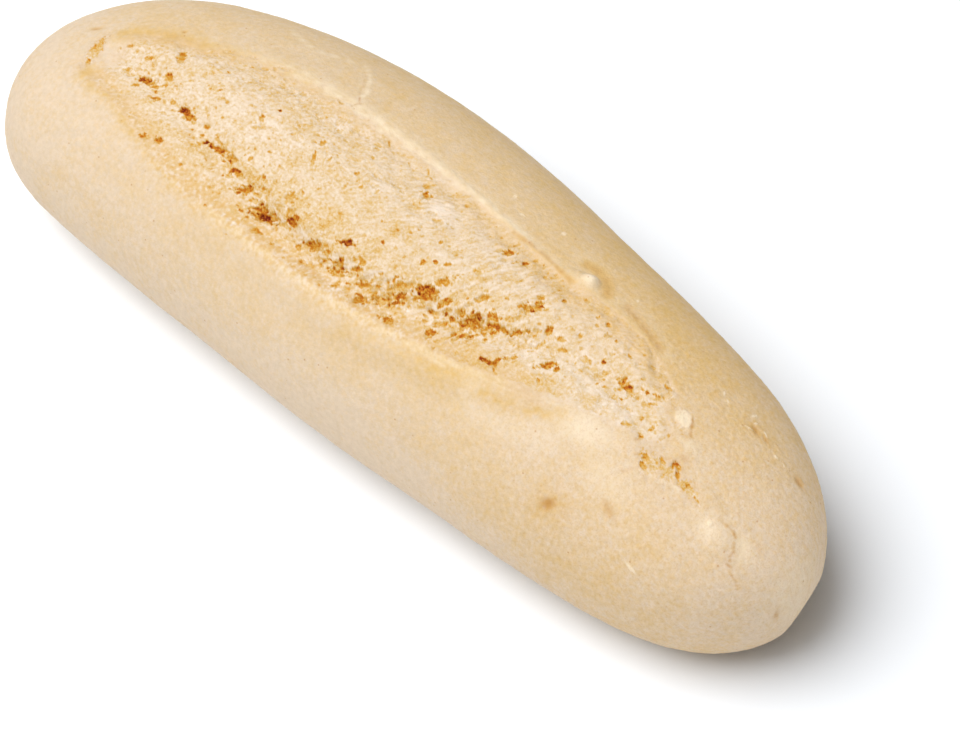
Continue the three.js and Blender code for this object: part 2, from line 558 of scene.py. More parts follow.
@dataclass(frozen=True)
class Score:
    """The long cut along the top, opened between two lips, with the crumb torn apart inside."""

    far_lip: tuple[float, ...] = (-2, -5.5, -10.5, -11, -10.5, -9.3, -10.6, -1, 2)
    near_lip: tuple[float, ...] = (8, 13, 23, 26, 25, 19.7, 11, 3, 4)
    tear: tuple[float, ...] = (4, 5, 12, 20, 20.5, 11.5, 2, 5.5, 6)
    tear_depth: tuple[float, ...] = (0, 0.6, 1.1, 1.6, 1.4, 1.6, 0.5, 0.2, 0)
    tear_reach: float = 3.4
    start: tuple[float, float] = (-85.0, -77.0)
    end: tuple[float, float] = (55.0, 69.0)
    roll_height: tuple[float, ...] = (0, 0.1, 0.15, 0.6, 1.0, 0.95, 0.1, 0, 0)
    roll_offset: float = 2.8
    roll_reach: float = 3.4
    rim_height: tuple[float, ...] = (0, 0, 0, 0.05, 0.2, 0.2, 0, 0, 0)
    rim_reach: float = 0.8
    far_run: tuple[float, ...] = (6, 7, 8, 7, 4, 2.6, 2.4, 2.4, 3)
    groove_height: float = -0.1
    groove_offset: float = -4.6
    groove_reach: float = 2.4
    step_depth: tuple[float, ...] = (0.9, 0.9, 0.9, 0.9, 0.8, 0.7, 0.2, 0.1, 0.1)
    near_run: float = 3.0
    crown_height: float = 1.3
    crown_at: float = 0.5
    crown_reach: float = 0.35
    crown_falls: Fade = Fade(0.7, 18, 44)
    wander: Unevenness = Unevenness(0.5, 3.1, 9.0, 11)
    far_wander: float = 0.5  # a share of the wander, like the tear's
    tear_wander: float = 2.0
    fray: Unevenness = Unevenness(0.2, 1.6, 4.0, 13)

    def lines(self, skin: Skin) -> Lines:
        """Draw the score's lines over the skin, wandering as torn dough does.

        Args:
            skin: the grid of points.

        Returns:
            The lines.
        """
        x, a = skin.x, skin.a
        ragged, frayed = self.wander.read(x, a), self.fray.read(x, a)
        far, tear, near = (track(line, skin.u)[:, None] for line in (self.far_lip, self.tear, self.near_lip))
        opening = smoothstep(x, *self.start) * (1 - smoothstep(x, *self.end))
        return Lines(
            far + self.far_wander * ragged, tear + self.tear_wander * ragged, near + ragged + frayed, opening
        )

    def press(self, skin: Skin, relief: Relief) -> Lines:
        """Press the lips and the bed of crumb into the skin.

        Args:
            skin: the grid of points.
            relief: the relief, which is changed.

        Returns:
            The score's lines.
        """
        lines, a = self.lines(skin), skin.a
        roll_height, rim_height, depth, run, step = (
            track(values, skin.u)[:, None]
            for values in (self.roll_height, self.rim_height, self.tear_depth, self.far_run, self.step_depth)
        )
        roll = roll_height * bell(a - lines.near - self.roll_offset, self.roll_reach)
        rim = rim_height * bell(a - lines.far, self.rim_reach)
        groove = self.groove_height * bell(a - lines.far - self.groove_offset, self.groove_reach)
        inside = smoothstep((a - lines.far) / run, 0, 1) * smoothstep((lines.near - a) / self.near_run, 0, 1)
        across = (a - lines.far) / np.maximum(lines.tear - lines.far, 1)
        crown = self.crown_height * bell(across - self.crown_at, self.crown_reach)
        crown = crown * self.crown_falls.read(skin.x)
        valley = depth * bell(a - lines.tear, self.tear_reach)
        relief.height += lines.opening * (roll + rim + groove + inside * (crown - valley - step))
        return lines


# The crumb's pockets. Their shade is partly the crumb's own brown and partly painted shade of the hollows.
POCKETS = (
    Mark("slit at the broad end", -81.8, 4.7, 8.2, 2.2, -0.25, 0.36, 1.35, 0),
    Mark("foot of the slit", -80.9, 7.9, 2.2, 0.9, -0.1, 0.46, 1.1, 0),
    Mark("side of the slit", -82.7, 4.6, 3.4, 0.5, -0.1, 0.42, 1.5, 0),
    Mark("far speck", -64.8, -0.6, 3.8, 1.6, -0.39, 0.62, 1.0, 0.3),
    Mark("speck below it", -63.5, 4.5, 2.1, 1.6, -0.3, 0.75, 1.2, 0.3),
    Mark("first pocket", -67.2, 7.1, 4.0, 1.7, -0.48, 0.85, 0.05, 0.45),
    Mark("small pits", -72.4, 7.4, 2.4, 0.8, -0.17, 0.4, 0.0),
    Mark("small pit", -77.8, 2.4, 1.0, 0.8, -0.15, 0.35, 0.5),
    Mark("small pit", -73.8, 3.1, 1.0, 1.2, -0.15, 0.33, 0.0),
    Mark("small pit", -68.4, 0.5, 1.0, 1.4, -0.15, 0.4, 0.2),
    Mark("small groove", -76.0, 7.6, 1.8, 0.5, -0.12, 0.4, 0.9),
    Mark("small pit", -58.6, 12.3, 1.5, 1.0, -0.15, 0.42, 0.3),
    Mark("pit in the tear", -56.4, 9.4, 1.9, 1.1, -0.26, 0.5, 0.3),
    Mark("second pocket", -54.2, 10.3, 4.2, 2.3, -0.52, 0.85, 0.35, 0.45),
    Mark("near wall pit", -57.7, 18.9, 1.8, 1.2, -0.35, 0.6, 0.0, 0.2),
    Mark("near wall pit", -54.6, 18.3, 2.1, 1.6, -0.4, 0.65, 0.6, 0.2),
    Mark("near wall dimple", -62.7, 16.2, 1.5, 1.0, -0.17, 0.35, 0.0),
    Mark("tail of the third pocket", -48.8, 15.8, 3.6, 0.9, -0.22, 0.4, -0.2),
    Mark("third pocket", -43.2, 13.7, 6.6, 1.5, -0.65, 0.9, 0.0, 0.5),
    Mark("end of the third pocket", -39.4, 14.8, 1.4, 0.6, -0.2, 0.75, 0.1, 0),
    Mark("pit above the fourth", -36.0, 12.4, 1.1, 1.5, -0.2, 0.52, 0.0, 0),
    Mark("fourth pocket", -36.6, 16.2, 2.9, 1.4, -0.5, 0.75, -0.1, 0.45),
    Mark("foot of the fourth", -37.5, 17.6, 1.5, 1.2, -0.2, 0.52, 0.0),
    Mark("fifth pocket", -33.0, 18.3, 4.6, 1.5, -0.6, 0.85, -0.6, 0.5),
    Mark("above the fifth", -30.2, 14.6, 2.4, 1.0, -0.2, 0.52, 0.3, 0.3),
    Mark("below the fifth", -30.2, 22.3, 1.6, 0.7, -0.15, 0.55, 0.0, 0),
    Mark("deep pocket", -26.1, 20.5, 5.8, 3.2, -0.9, 0.78, -0.05, 0.6),
    Mark("core of the deep pocket", -25.4, 20.7, 4.2, 1.5, -0.6, 1.0, 0.0, 0.2),
    Mark("deep pocket's neighbour", -20.1, 18.2, 2.2, 1.3, -0.6, 0.95, 0.1, 0.35),
    Mark("above the deep pocket", -23.4, 14.6, 1.8, 2.5, -0.3, 0.5, 0.0, 0.3),
    Mark("above its neighbour", -21.4, 16.7, 1.8, 1.8, -0.35, 0.5, 0.0, 0.4),
    Mark("golden dimple", -17.2, 15.7, 3.0, 1.7, -0.2, 0.48, -0.2),
    Mark("golden speck", -20.2, 24.2, 1.0, 0.7, -0.1, 0.5, 0.0, 0),
    Mark("golden speck", -23.5, 23.9, 0.9, 0.7, -0.1, 0.45, 0.0, 0),
    Mark("golden speck", -36.5, 25.3, 0.9, 0.6, -0.1, 0.45, 0.0, 0),
    Mark("golden speck", -28.9, 27.7, 1.0, 0.5, -0.05, 0.4, -0.2, 0),
    Mark("long tan pocket", -13.0, 19.2, 5.0, 1.8, -0.57, 0.75, -0.3, 0.4),
    Mark("dark slot", -7.3, 14.9, 3.5, 1.1, -0.65, 1.0, -0.4, 0.3),
    Mark("golden hollow above the foot", -6.0, 19.1, 3.6, 1.9, -0.1, 0.34, -0.3, 0.15),
    Mark("dark foot of the hollow", -6.2, 20.8, 4.0, 1.3, -0.3, 0.78, -0.15, 0.4),
    Mark("golden streak", -2.5, 17.7, 3.0, 0.9, -0.39, 0.66, -0.6, 0.2),
    Mark("golden dimple", -2.5, 15.8, 2.2, 1.0, -0.2, 0.42, 0.0, 0),
    Mark("small pit", -1.6, 18.7, 0.7, 0.6, -0.1, 0.6, 0.0, 0),
    Mark("near wall dimple", -11.8, 23.3, 3.6, 1.4, -0.26, 0.5, 0.0),
    Mark("near wall dimple", -1.8, 22.2, 1.9, 1.5, -0.3, 0.5, 0.0),
    Mark("far pocket", -2.9, -2.7, 1.6, 2.0, -0.35, 0.6, 0.2, 0.2),
    Mark("small pit", -2.3, -0.4, 1.2, 0.6, -0.12, 0.42, 0.3, 0),
    Mark("small pit", -7.0, 0.0, 1.3, 0.6, -0.12, 0.38, 0.0, 0),
    Mark("crumb pit", -26.6, 1.7, 1.2, 1.9, -0.2, 0.45, 0.0, 0),
    Mark("crumb groove", -25.2, 6.0, 4.4, 0.9, -0.2, 0.44, 1.05, 0),
    Mark("crumb pit", -22.8, 4.0, 0.8, 1.8, -0.12, 0.38, 0.0, 0),
    Mark("crumb groove", -33.2, 1.5, 4.4, 0.6, -0.12, 0.42, 0.5, 0.4),
    Mark("crumb pit", -38.9, -5.8, 1.7, 1.2, -0.12, 0.35, 0.0, 0),
    Mark("crumb stain", -28.6, -4.7, 2.2, 2.2, -0.1, 0.33, 0.0),
    Mark("crumb pit", -40.1, 4.4, 2.4, 1.0, -0.2, 0.46, 1.1, 0),
    Mark("crumb pit", -16.4, 2.8, 0.9, 1.3, -0.17, 0.56, 0.0, 0),
    Mark("crumb pit", -16.0, 6.8, 0.9, 2.2, -0.12, 0.36, 0.0, 0),
    Mark("crumb pit", -13.4, 4.6, 1.0, 1.1, -0.15, 0.44, 0.4, 0),
    Mark("wide tan pocket", 2.2, 22.0, 4.6, 2.0, -0.57, 0.7, -0.35, 0.5),
    Mark("ragged pocket", 5.8, 18.8, 3.6, 2.6, -0.69, 0.75, -0.6),
    Mark("golden shelf", 6.6, 15.1, 5.2, 2.4, -0.45, 0.55, -0.5, 0.2),
    Mark("brown edge", 7.8, 16.8, 3.0, 1.1, -0.43, 0.8, -0.7, 0.3),
    Mark("round pocket", 10.0, 21.6, 3.6, 1.8, -0.52, 0.6, 0.0, 0.25),
    Mark("deepest pocket", 11.8, 12.7, 4.4, 2.9, -1.1, 1.0, -0.5),
    Mark("round pit below it", 10.6, 15.0, 1.3, 1.1, -0.25, 0.6, 0.0, 0),
    Mark("crescent", 13.3, 9.2, 4.0, 1.6, -0.35, 0.6, -0.9, 0.2),
    Mark("egg-shaped pocket", 17.8, 18.3, 2.0, 2.6, -0.57, 0.7, 0.2, 0.3),
    Mark("brown streak", 18.9, 13.2, 2.6, 0.9, -0.35, 0.75, -0.1, 0.3),
    Mark("cluster of pits", 22.6, 11.0, 4.5, 3.2, -0.8, 0.9, -0.5),
    Mark("mottled end of the cluster", 25.6, 10.8, 3.0, 1.5, -0.3, 0.55, 0.3),
    Mark("golden strand gap", 21.1, 6.6, 3.0, 1.3, -0.35, 0.52, -1.0, 0.2),
    Mark("head of the dark slot", 25.6, 7.7, 2.8, 1.6, -0.3, 0.7, -0.3, 0.4),
    Mark("dark slot", 27.2, 8.6, 5.0, 1.2, -0.55, 0.88, -0.35, 0.4),
    Mark("dark slot's tail", 31.2, 6.5, 3.2, 0.9, -0.48, 0.78, -0.85, 0.4),
    Mark("thin tail", 33.4, 4.3, 3.6, 0.7, -0.3, 0.55, -0.8),
    Mark("plug-shaped pocket", 35.1, 2.3, 1.5, 1.8, -0.35, 0.62, 0.1, 0),
    Mark("three-cornered pocket", 29.3, 1.6, 4.5, 2.1, -0.45, 0.58, -1.0, 0.15),
    Mark("its top edge", 30.7, -0.2, 1.3, 0.5, -0.3, 0.8, -0.2, 0),
    Mark("pit in it", 30.2, 1.7, 0.9, 0.7, -0.2, 0.85, 0.0, 0),
    Mark("pocket at the near lip", 30.9, 15.2, 4.2, 1.2, -0.6, 0.85, -0.3, 0.3),
    Mark("arm of that pocket", 32.0, 13.9, 2.4, 0.9, -0.4, 0.75, -1.3, 0.2),
    Mark("foot of that pocket", 33.3, 15.8, 1.6, 0.6, -0.2, 0.5, 0.3, 0),
    Mark("strand gap at the near lip", 33.8, 11.5, 4.2, 1.0, -0.35, 0.5, -0.9, 0.2),
    Mark("near lip fold", 25.8, 17.5, 3.2, 1.0, -0.3, 0.5, -0.3),
    Mark("slanted pocket", 39.9, 7.9, 5.2, 1.1, -0.45, 0.66, -0.95, 0.15),
    Mark("pit beside it", 41.8, 7.3, 1.0, 1.4, -0.3, 0.68, 0.0, 0),
    Mark("tail of the slanted pocket", 41.0, 11.7, 1.8, 0.7, -0.15, 0.5, 0.7, 0),
    Mark("tan dimple", 38.0, 2.2, 2.6, 1.0, -0.15, 0.46, -0.35, 0),
    Mark("small pit", 45.3, 1.6, 1.1, 1.1, -0.1, 0.42, 0.0, 0),
    Mark("small pit", 49.4, 4.1, 0.7, 0.7, -0.1, 0.52, 0.0, 0),
    Mark("far pit", 17.6, -4.6, 1.5, 2.5, -0.4, 0.7, 0.3, 0.2),
    Mark("small pit", 18.9, -5.7, 0.6, 0.7, -0.15, 0.5, 0.0, 0),
    Mark("small pit", 20.3, -4.2, 0.8, 0.7, -0.15, 0.5, 0.0, 0),
    Mark("far pit", 21.4, -5.3, 1.6, 1.4, -0.4, 0.72, 0.0, 0.2),
    Mark("far pit", 26.4, -5.7, 0.9, 0.9, -0.22, 0.5, 0.0, 0.3),
    Mark("far pit", 42.1, -6.6, 1.6, 1.1, -0.25, 0.58, 0.3, 0.2),
    Mark("small pit", 39.8, -6.5, 0.8, 1.0, -0.15, 0.52, 0.0, 0),
    Mark("small pit", 35.7, -7.7, 1.6, 1.0, -0.15, 0.44, 0.0, 0),
    Mark("small pit", 44.1, -4.8, 1.4, 1.4, -0.15, 0.42, 0.0, 0.3),
    Mark("small pit", 45.9, -5.0, 0.8, 0.7, -0.1, 0.5, 0.0, 0),
    Mark("small pit", 41.0, -4.8, 0.8, 1.2, -0.12, 0.42, 0.0, 0),
    Mark("small pit", 32.8, -4.3, 1.1, 1.0, -0.22, 0.6, 0.0, 0),
    Mark("small pit", 9.3, 7.2, 1.1, 0.9, -0.2, 0.65, 0.0, 0),
    Mark("small pit", 7.4, 8.7, 1.1, 1.2, -0.2, 0.6, 0.0, 0),
    Mark("small pit", 6.8, 3.3, 0.8, 1.0, -0.15, 0.55, 0.0, 0),
    Mark("small pit", 11.3, 6.1, 1.7, 0.7, -0.2, 0.55, -0.8, 0),
    Mark("small pit", 8.5, 2.7, 0.6, 0.8, -0.1, 0.42, 0.0, 0),
    Mark("small pit", -1.7, 10.7, 0.8, 0.7, -0.15, 0.8, 0.0, 0),
    Mark("small pit", -5.0, 7.5, 0.7, 0.6, -0.1, 0.5, 0.0, 0),
    Mark("small pit", -10.4, 3.5, 0.7, 1.4, -0.12, 0.42, 0.1, 0),
    Mark("tan dimple", 16.9, 3.3, 2.0, 1.5, -0.15, 0.35, 0.0, 0),
    Mark("tan dimple", -12.0, 12.2, 2.2, 1.3, -0.2, 0.4, -0.4),
    Mark("small pit", 40.3, -0.8, 1.2, 1.1, -0.26, 0.55, 0.0),
    Mark("small pit", 47.3, -0.1, 1.0, 0.8, -0.2, 0.76, 0.0, 0),
    Mark("late pocket", 53.8, 0.4, 4.4, 1.6, -0.45, 0.72, 0.0, 0.6),
    Mark("late pocket's core", 54.6, 0.2, 1.6, 1.1, -0.2, 0.85, 0.0, 0.4),
    Mark("late pit", 59.5, -2.1, 1.7, 0.7, -0.2, 0.6, 0.1, 0.2),
    Mark("late dimple", 62.9, -3.7, 2.4, 1.6, -0.15, 0.35, 0.2),
    Mark("late dimple", 59.7, -5.2, 2.0, 1.1, -0.2, 0.52, 0.2, 0.3),
    Mark("pit past the late pocket", 57.5, -1.3, 0.9, 0.9, -0.2, 0.7, 0.0, 0),
    Mark("late pit", 54.5, -6.3, 1.6, 1.5, -0.15, 0.42, 0.0, 0.2),
    Mark("late pit", 50.0, -4.4, 1.2, 0.9, -0.12, 0.42, 0.0, 0),
    Mark("last of the crumb", 60.2, -3.0, 1.2, 3.4, -0.26, 0.45, 0.2),
    Mark("edge of the bridge", 59.2, 6.5, 1.8, 1.2, -0.22, 0.5, -0.4),
    Mark("edge of the bridge", 62.8, 6.4, 1.0, 1.4, -0.26, 0.6, 0.0),
    Mark("burnt speck", -38.9, 0.7, 0.7, 0.5, 0, 1.0, 0.5, 0),
    Mark("under the flap", 68.5, -0.2, 1.5, 0.9, -0.1, 0.5, -0.3),
    Mark("under the flap", 66.8, -0.6, 3.0, 1.2, -0.1, 0.34, 0.0),
    Mark("foot of the bridge", 66.0, 3.6, 3.0, 0.8, -0.1, 0.42, 1.8),
    Mark("second tear, corner", 67.5, 8.6, 4.8, 3.8, -0.15, 0.4, 0.3, 0.45),
    Mark("second tear, middle", 71.2, 7.0, 5.4, 3.0, -0.15, 0.44, -0.1, 0.45),
    Mark("second tear, tail", 75.8, 6.8, 6.2, 2.2, -0.1, 0.42, 0.05, 0.45),
    Mark("second tear, corner pit", 66.2, 8.5, 1.6, 1.4, -0.3, 0.54, 0.6, 0.3),
    Mark("second tear, corner pit", 67.2, 9.9, 1.9, 1.0, -0.3, 0.56, 0.1, 0.3),
    Mark("second tear, corner pit", 68.4, 8.8, 1.5, 1.0, -0.2, 0.5, -0.4),
    Mark("second tear, middle pit", 69.3, 6.6, 1.8, 0.8, -0.2, 0.52, 0.0, 0.3),
    Mark("second tear, deep pit", 71.8, 5.5, 2.3, 1.8, -0.4, 0.62, 0.2, 0.3),
    Mark("second tear, middle pit", 72.7, 6.4, 2.0, 1.2, -0.3, 0.62, 0.5, 0.3),
    Mark("second tear, tail pit", 76.0, 6.3, 2.8, 0.8, -0.2, 0.47, -0.1, 0.3),
    Mark("second tear, tail pit", 78.3, 7.0, 1.5, 0.7, -0.15, 0.47, 0.1, 0.3),
)


@dataclass(frozen=True)
class TornEdge:
    """How a pocket is torn out of the crumb: its ragged edge, its bowl, its brown, which is partly painted
    shade of the hollow, and its pale rim, which is a painted highlight.
    """

    size: float = 0.88
    span_share: float = 0.9
    span_margin: float = 1.0
    ragged: Unevenness = Unevenness(0.6, 2.4, 2.4, 73, 2)
    rough: Unevenness = Unevenness(0.85, 1.1, 1.1, 71)
    frayed: Unevenness = Unevenness(0.75, 0.75, 0.55, 77)
    wandering: float = 0.85
    wandering_where_clean: float = 0.15
    wall: tuple[float, float] = (0.7, 1.0)
    sink: float = 0.8
    sink_on_walls: float = 0.4
    sink_at_middle: float = 1.1
    sink_lost_to_edge: float = 0.5
    stain: float = 0.55
    stain_fades: tuple[float, float] = (0.8, 1.6)
    # The brown inside a pocket and in its holes is partly the crumb's own and partly painted shade.
    floor_brown_and_shade: float = 0.42
    hole_brown_and_shade: float = 0.6
    # painted shade under the pocket's overhanging lip
    overhang_painted_shade: float = 0.45
    # the pale rim round a pocket is a painted highlight
    rim_painted_highlight: float = 0.12
    rim_at: float = 1.15
    rim_reach: float = 0.15

    def wander(self, x: Array, a: Array) -> tuple[Array, Array]:
        """Give how far a torn edge wanders and how far it frays at each point, as shares of its size."""
        return self.ragged.read(x, a) + self.rough.read(x, a), self.frayed.read(x, a)

    def tear_out(
        self, mark: Mark, skin: Skin, relief: Relief, wander: tuple[Array, Array], bubbles: Array
    ) -> None:
        """Sink one ragged pocket into the crumb, brown it partly with painted shade, and paint a highlight
        on its rim.

        Args:
            mark: the pocket.
            skin: the grid of points.
            relief: the relief, which is changed.
            wander: how far the pocket's edge wanders and frays at each point.
            bubbles: 1 inside a bubble and 0 on the walls between bubbles.
        """
        span = self.span_share * max(mark.length, mark.width) + self.span_margin
        touched = np.abs(skin.x[:, 0] - mark.x) < span
        x, a = skin.x[touched], skin.a[touched]
        ragged, frayed = (part[touched] for part in wander)
        away = self.size * mark.inside(x, a) + frayed
        away = away + (self.wandering if mark.web else self.wandering_where_clean) * ragged
        sunk = 1 - smoothstep(away, *self.wall)
        stain = self.stain * (1 - smoothstep(away, *self.stain_fades))
        # painted shade: darker towards the broad end and the far side of the pocket, which its lip overhangs
        overhang_shade_side = np.clip((mark.x - x + mark.a - a) / (mark.length + mark.width) * 2, -1, 1)
        hole = 1 - mark.web * (1 - bubbles[touched])
        bowl = self.sink_at_middle - self.sink_lost_to_edge * np.clip(away, 0, 1)
        bowl = bowl * (self.sink_on_walls + (1 - self.sink_on_walls) * hole)
        relief.height[touched] += self.sink * mark.height * sunk * bowl
        # partly painted shade: the brown deepens where the pocket is sunk, more in its holes, most on the
        # overhung side
        inner = self.floor_brown_and_shade + self.hole_brown_and_shade * hole + self.overhang_painted_shade * overhang_shade_side * hole
        brown = mark.shade * np.maximum(sunk * inner, stain)
        # painted highlight: a pale ring just past the pocket's edge, where its lip catches the light
        rim = self.rim_painted_highlight * bell(away - self.rim_at, self.rim_reach)
        shade, crumb = relief.layers[Layer.SHADE], relief.layers[Layer.CRUMB]
        shade[touched] = np.clip(np.maximum(shade[touched], brown) - rim, 0, 1)
        crumb[touched] = np.maximum(crumb[touched], sunk)


@dataclass(frozen=True)
class LoosePits:
    """Small pits scattered over the crumb, most of them along the tear where it is torn open widest."""

    count: int = 330
    seed: int = 7
    span: tuple[float, float] = (-74.0, 60.0)
    torn_span: tuple[float, float] = (-16.0, 36.0)
    torn_share: float = 0.75
    other_share: float = 0.25
    tear_offset: float = -0.4
    tear_spread: float = 1.6
    lip_gap: float = 1.5
    size: tuple[float, float] = (0.4, 1.2)
    stretch: tuple[float, float] = (1.0, 3.0)
    depth_share: float = 0.25
    turns: tuple[float, float] = (-0.15, -0.8)
    turns_change_at: float = -10.0
    turn_spread: float = 0.3
    torn_shade: tuple[float, float] = (0.5, 0.9)
    other_shade: tuple[float, float] = (0.3, 0.5)
    torn_paler_from: float = 30.0
    torn_paler: float = 0.6
    all_paler_from: float = 40.0
    all_paler: float = 0.75

    def fading(self, x: float, torn: bool) -> float:
        """Pale a pit towards the narrow end.

        Args:
            x: where the pit is along the loaf.
            torn: whether it lies along the tear.

        Returns:
            The share of its brown that it keeps.
        """
        if x > self.all_paler_from:
            return self.all_paler
        return self.torn_paler if x > self.torn_paler_from and torn else 1

    def scatter(self, score: Score) -> list[Mark]:
        """Scatter the pits.

        Args:
            score: the score that they lie in.

        Returns:
            The pits.
        """
        rng = np.random.default_rng(self.seed)
        pits = []
        for _ in range(self.count):
            x = rng.uniform(*self.span)
            u = np.array(2 * x * MM / NODE_LENGTH)
            far, tear, near = (float(track(v, u)) for v in (score.far_lip, score.tear, score.near_lip))
            wide = self.torn_span[0] < x < self.torn_span[1]
            torn = rng.random() < (self.torn_share if wide else self.other_share)
            if torn:
                a = rng.normal(tear + self.tear_offset, self.tear_spread)
            else:
                a = rng.uniform(far + self.lip_gap, near - self.lip_gap)
            size = rng.uniform(*self.size)
            turn = rng.normal(self.turns[int(x >= self.turns_change_at)], self.turn_spread)
            shade = rng.uniform(*(self.torn_shade if torn else self.other_shade)) * self.fading(x, torn)
            length = size * rng.uniform(*self.stretch)
            pits.append(Mark("loose pit", x, a, length, size, -self.depth_share * size, shade, turn))
        return pits


@dataclass(frozen=True)
class Strands:
    """Strands of crumb that the tear has pulled one way, with the share of dashes torn open among them."""

    turn: float
    length: float
    height: float
    streak: float
    dashes: float


@dataclass(frozen=True)
class Crumb:
    """The torn crumb inside the score: lumps, strands, bubbles and pockets."""

    start: tuple[float, float] = (-80.0, -74.0)
    end: tuple[float, float] = (64.0, 68.0)
    start_wander: float = 1.6
    end_wander: float = 2.0
    far_end_sooner: float = 4.0
    far_side: tuple[float, float] = (1.0, -2.0)
    far_edge: tuple[float, float] = (0.1, 0.6)
    far_edge_wander: float = 0.3
    near_edge: float = 1.1
    edge: Unevenness = Unevenness(1.0, 2.6, 2.6, 31, shift=(40, 0))
    lumps: Unevenness = Unevenness(0.45, 5.0, 5.0, 51, 2)
    knobs: Unevenness = Unevenness(0.16, 1.7, 1.7, 53)
    warp_along: Unevenness = Unevenness(0.5, 1.9, 1.9, 41)
    warp_across: Unevenness = Unevenness(0.5, 1.9, 1.9, 45, shift=(90, 0))
    plain_shade: float = 0.22
    mottle: Unevenness = Unevenness(0.12, 5.0, 3.5, 55, 2)
    # tan along the tear, partly the crumb's own colour and partly painted shade of the tear's valley
    stain: Band = Band(-1.5, 4.0, 0.21, (-50, -20), (40, 28))
    stain_blotches: Unevenness = Unevenness(1.0, 2.4, 1.5, 59)
    stain_edge: tuple[float, float] = (-0.15, 0.45)
    near_bed: Band = Band(15.5, 3.0, 0.06, (-58, -48), (-2, -12))
    far_rim: Band = Band(1.5, 1.8, 0.05, (34, 42))
    far_hollow: Mark = Mark("pale behind the far lip", -8, 4.5, 42.667, 8, 0, -0.03)
    late_pale: float = 0.02
    late_pale_over: tuple[float, float] = (34.0, 46.0)
    tones: tuple[Mark, ...] = (
        Mark("golden crown", -3, 8, 32, 10.667, 0, 0.07),
        Mark("pale behind the slot", 22, -4, 32, 6.667, 0, -0.06),
        Mark("pale under the pockets", 16, 15, 8, 8, 0, -0.1),
        Mark("pale crown", 0, -4, 18.667, 8, 0, -0.04),
        Mark("pale crown", 2, 2, 21.333, 10.667, 0, -0.03),
        Mark("pale past the slot", 31, 9, 16, 10.667, 0, -0.04),
        Mark("golden by the near lip", 31, 15, 16, 8, 0, 0.06),
        Mark("golden by the far lip", 26, -6.6, 18.667, 4.533, 0, 0.1),
        Mark("pale by the pockets", -45, 4, 21.333, 10.667, 0, -0.05),
        Mark("pale by the pockets", -38.8, 12.7, 9, 5, 0, -0.09),
        Mark("pale by the pockets", -46.6, 10.6, 7, 5, 0, -0.07),
        Mark("golden by the near lip", 28.8, 17.4, 11, 3.8, 0, 0.08, -0.35),
        Mark("golden by the near lip", 41.8, 11.4, 10, 5.5, 0, 0.11, -0.35),
        Mark("golden by the near lip", 46.8, 10.0, 5, 4.5, 0, 0.09),
        Mark("golden by the tear", -16.0, 15.5, 7, 4, 0, 0.06),
        Mark("golden by the tear", -11.0, 12.5, 7, 4, 0, 0.07),
        Mark("golden crown", -19.2, -1.0, 9, 5, 0, 0.07),
        Mark("golden crown", -7.2, -0.8, 9, 4, 0, 0.07),
        Mark("pale crown", 7.2, 11.2, 5, 4, 0, -0.05),
        Mark("pale in the hollow", -5.8, 18.0, 5, 4, 0, -0.07),
        Mark("golden patch", -35.8, -1.8, 8, 6, 0, 0.08),
        Mark("pale near wall", -5.0, 22.4, 7, 5, 0, -0.13),
        Mark("pale near wall", -24.5, 24.0, 7, 4, 0, -0.07),
        Mark("pale by the pockets", -41.8, 16.6, 6, 4, 0, -0.06),
        Mark("pale crown", -3.5, 5.0, 8, 6, 0, -0.07),
        Mark("pale crown", -7.0, 10.0, 8, 6, 0, -0.06),
        Mark("pale under the pockets", 11.2, 17.6, 6, 4.5, 0, -0.1),
        Mark("pale past the pocket", 17.0, 12.0, 4.5, 4, 0, -0.07),
        Mark("pale past the slot", 34.0, 7.6, 6, 5, 0, -0.05),
    )
    foams: tuple[Foam, ...] = (
        Foam(3.0, 0.6, 0.25, 0.68, 21),
        Foam(1.7, 0.6, 0.14, 0.58, 22, 1.5),
        Foam(0.85, 0.55, 0.05, 0.42, 23, 1.3, 0.2, 0.5),
    )
    dashes: Foam = Foam(1.5, 0.5, 0.12, 0.64, 24, 3.0, 0.12, 0.25)
    strands: tuple[Strands, ...] = (
        Strands(-0.1, 1.0, 0.048, 0.22, 0.0),
        Strands(-0.7, 4.0, 0.16, 0.28, 1.0),
        Strands(-1.1, 4.0, 0.16, 0.28, 1.0),
    )
    strand_width: float = 0.75
    streak_width: float = 0.6
    slanting_over: tuple[float, float] = (-24.0, 2.0)
    steepest_at: float = 22.0
    steepest_reach: float = 18.0
    combed: Fade = Fade(0.6, 30, 44)
    uncombed_lumps: Unevenness = Unevenness(0.35, 2.4, 1.8, 69, 2)
    uncombed_tone: Unevenness = Unevenness(0.25, 2.2, 1.6, 67)
    least_bubbles: float = 0.35
    more_bubbles: Band = Band(-2.0, 5.5, 0.65)
    fewer_by_near_wall: Fade = Fade(0.4, 2, 5)
    fewer_at_broad_end: Fade = Fade(0.3, -52, -64)
    fewer_at_narrow_end: Fade = Fade(0.5, 30, 44)
    torn_walls: Unevenness = Unevenness(1.0, 1.0, 0.7, 75)
    torn_wall_edge: tuple[float, float] = (-0.25, 0.3)
    walls: Foam = Foam(0.85, 1.0, 0.5, 1.0, 29, 1.3, 0.35, 0.68)
    pockets: tuple[Mark, ...] = POCKETS
    loose_pits: LoosePits = LoosePits()
    torn_edge: TornEdge = TornEdge()

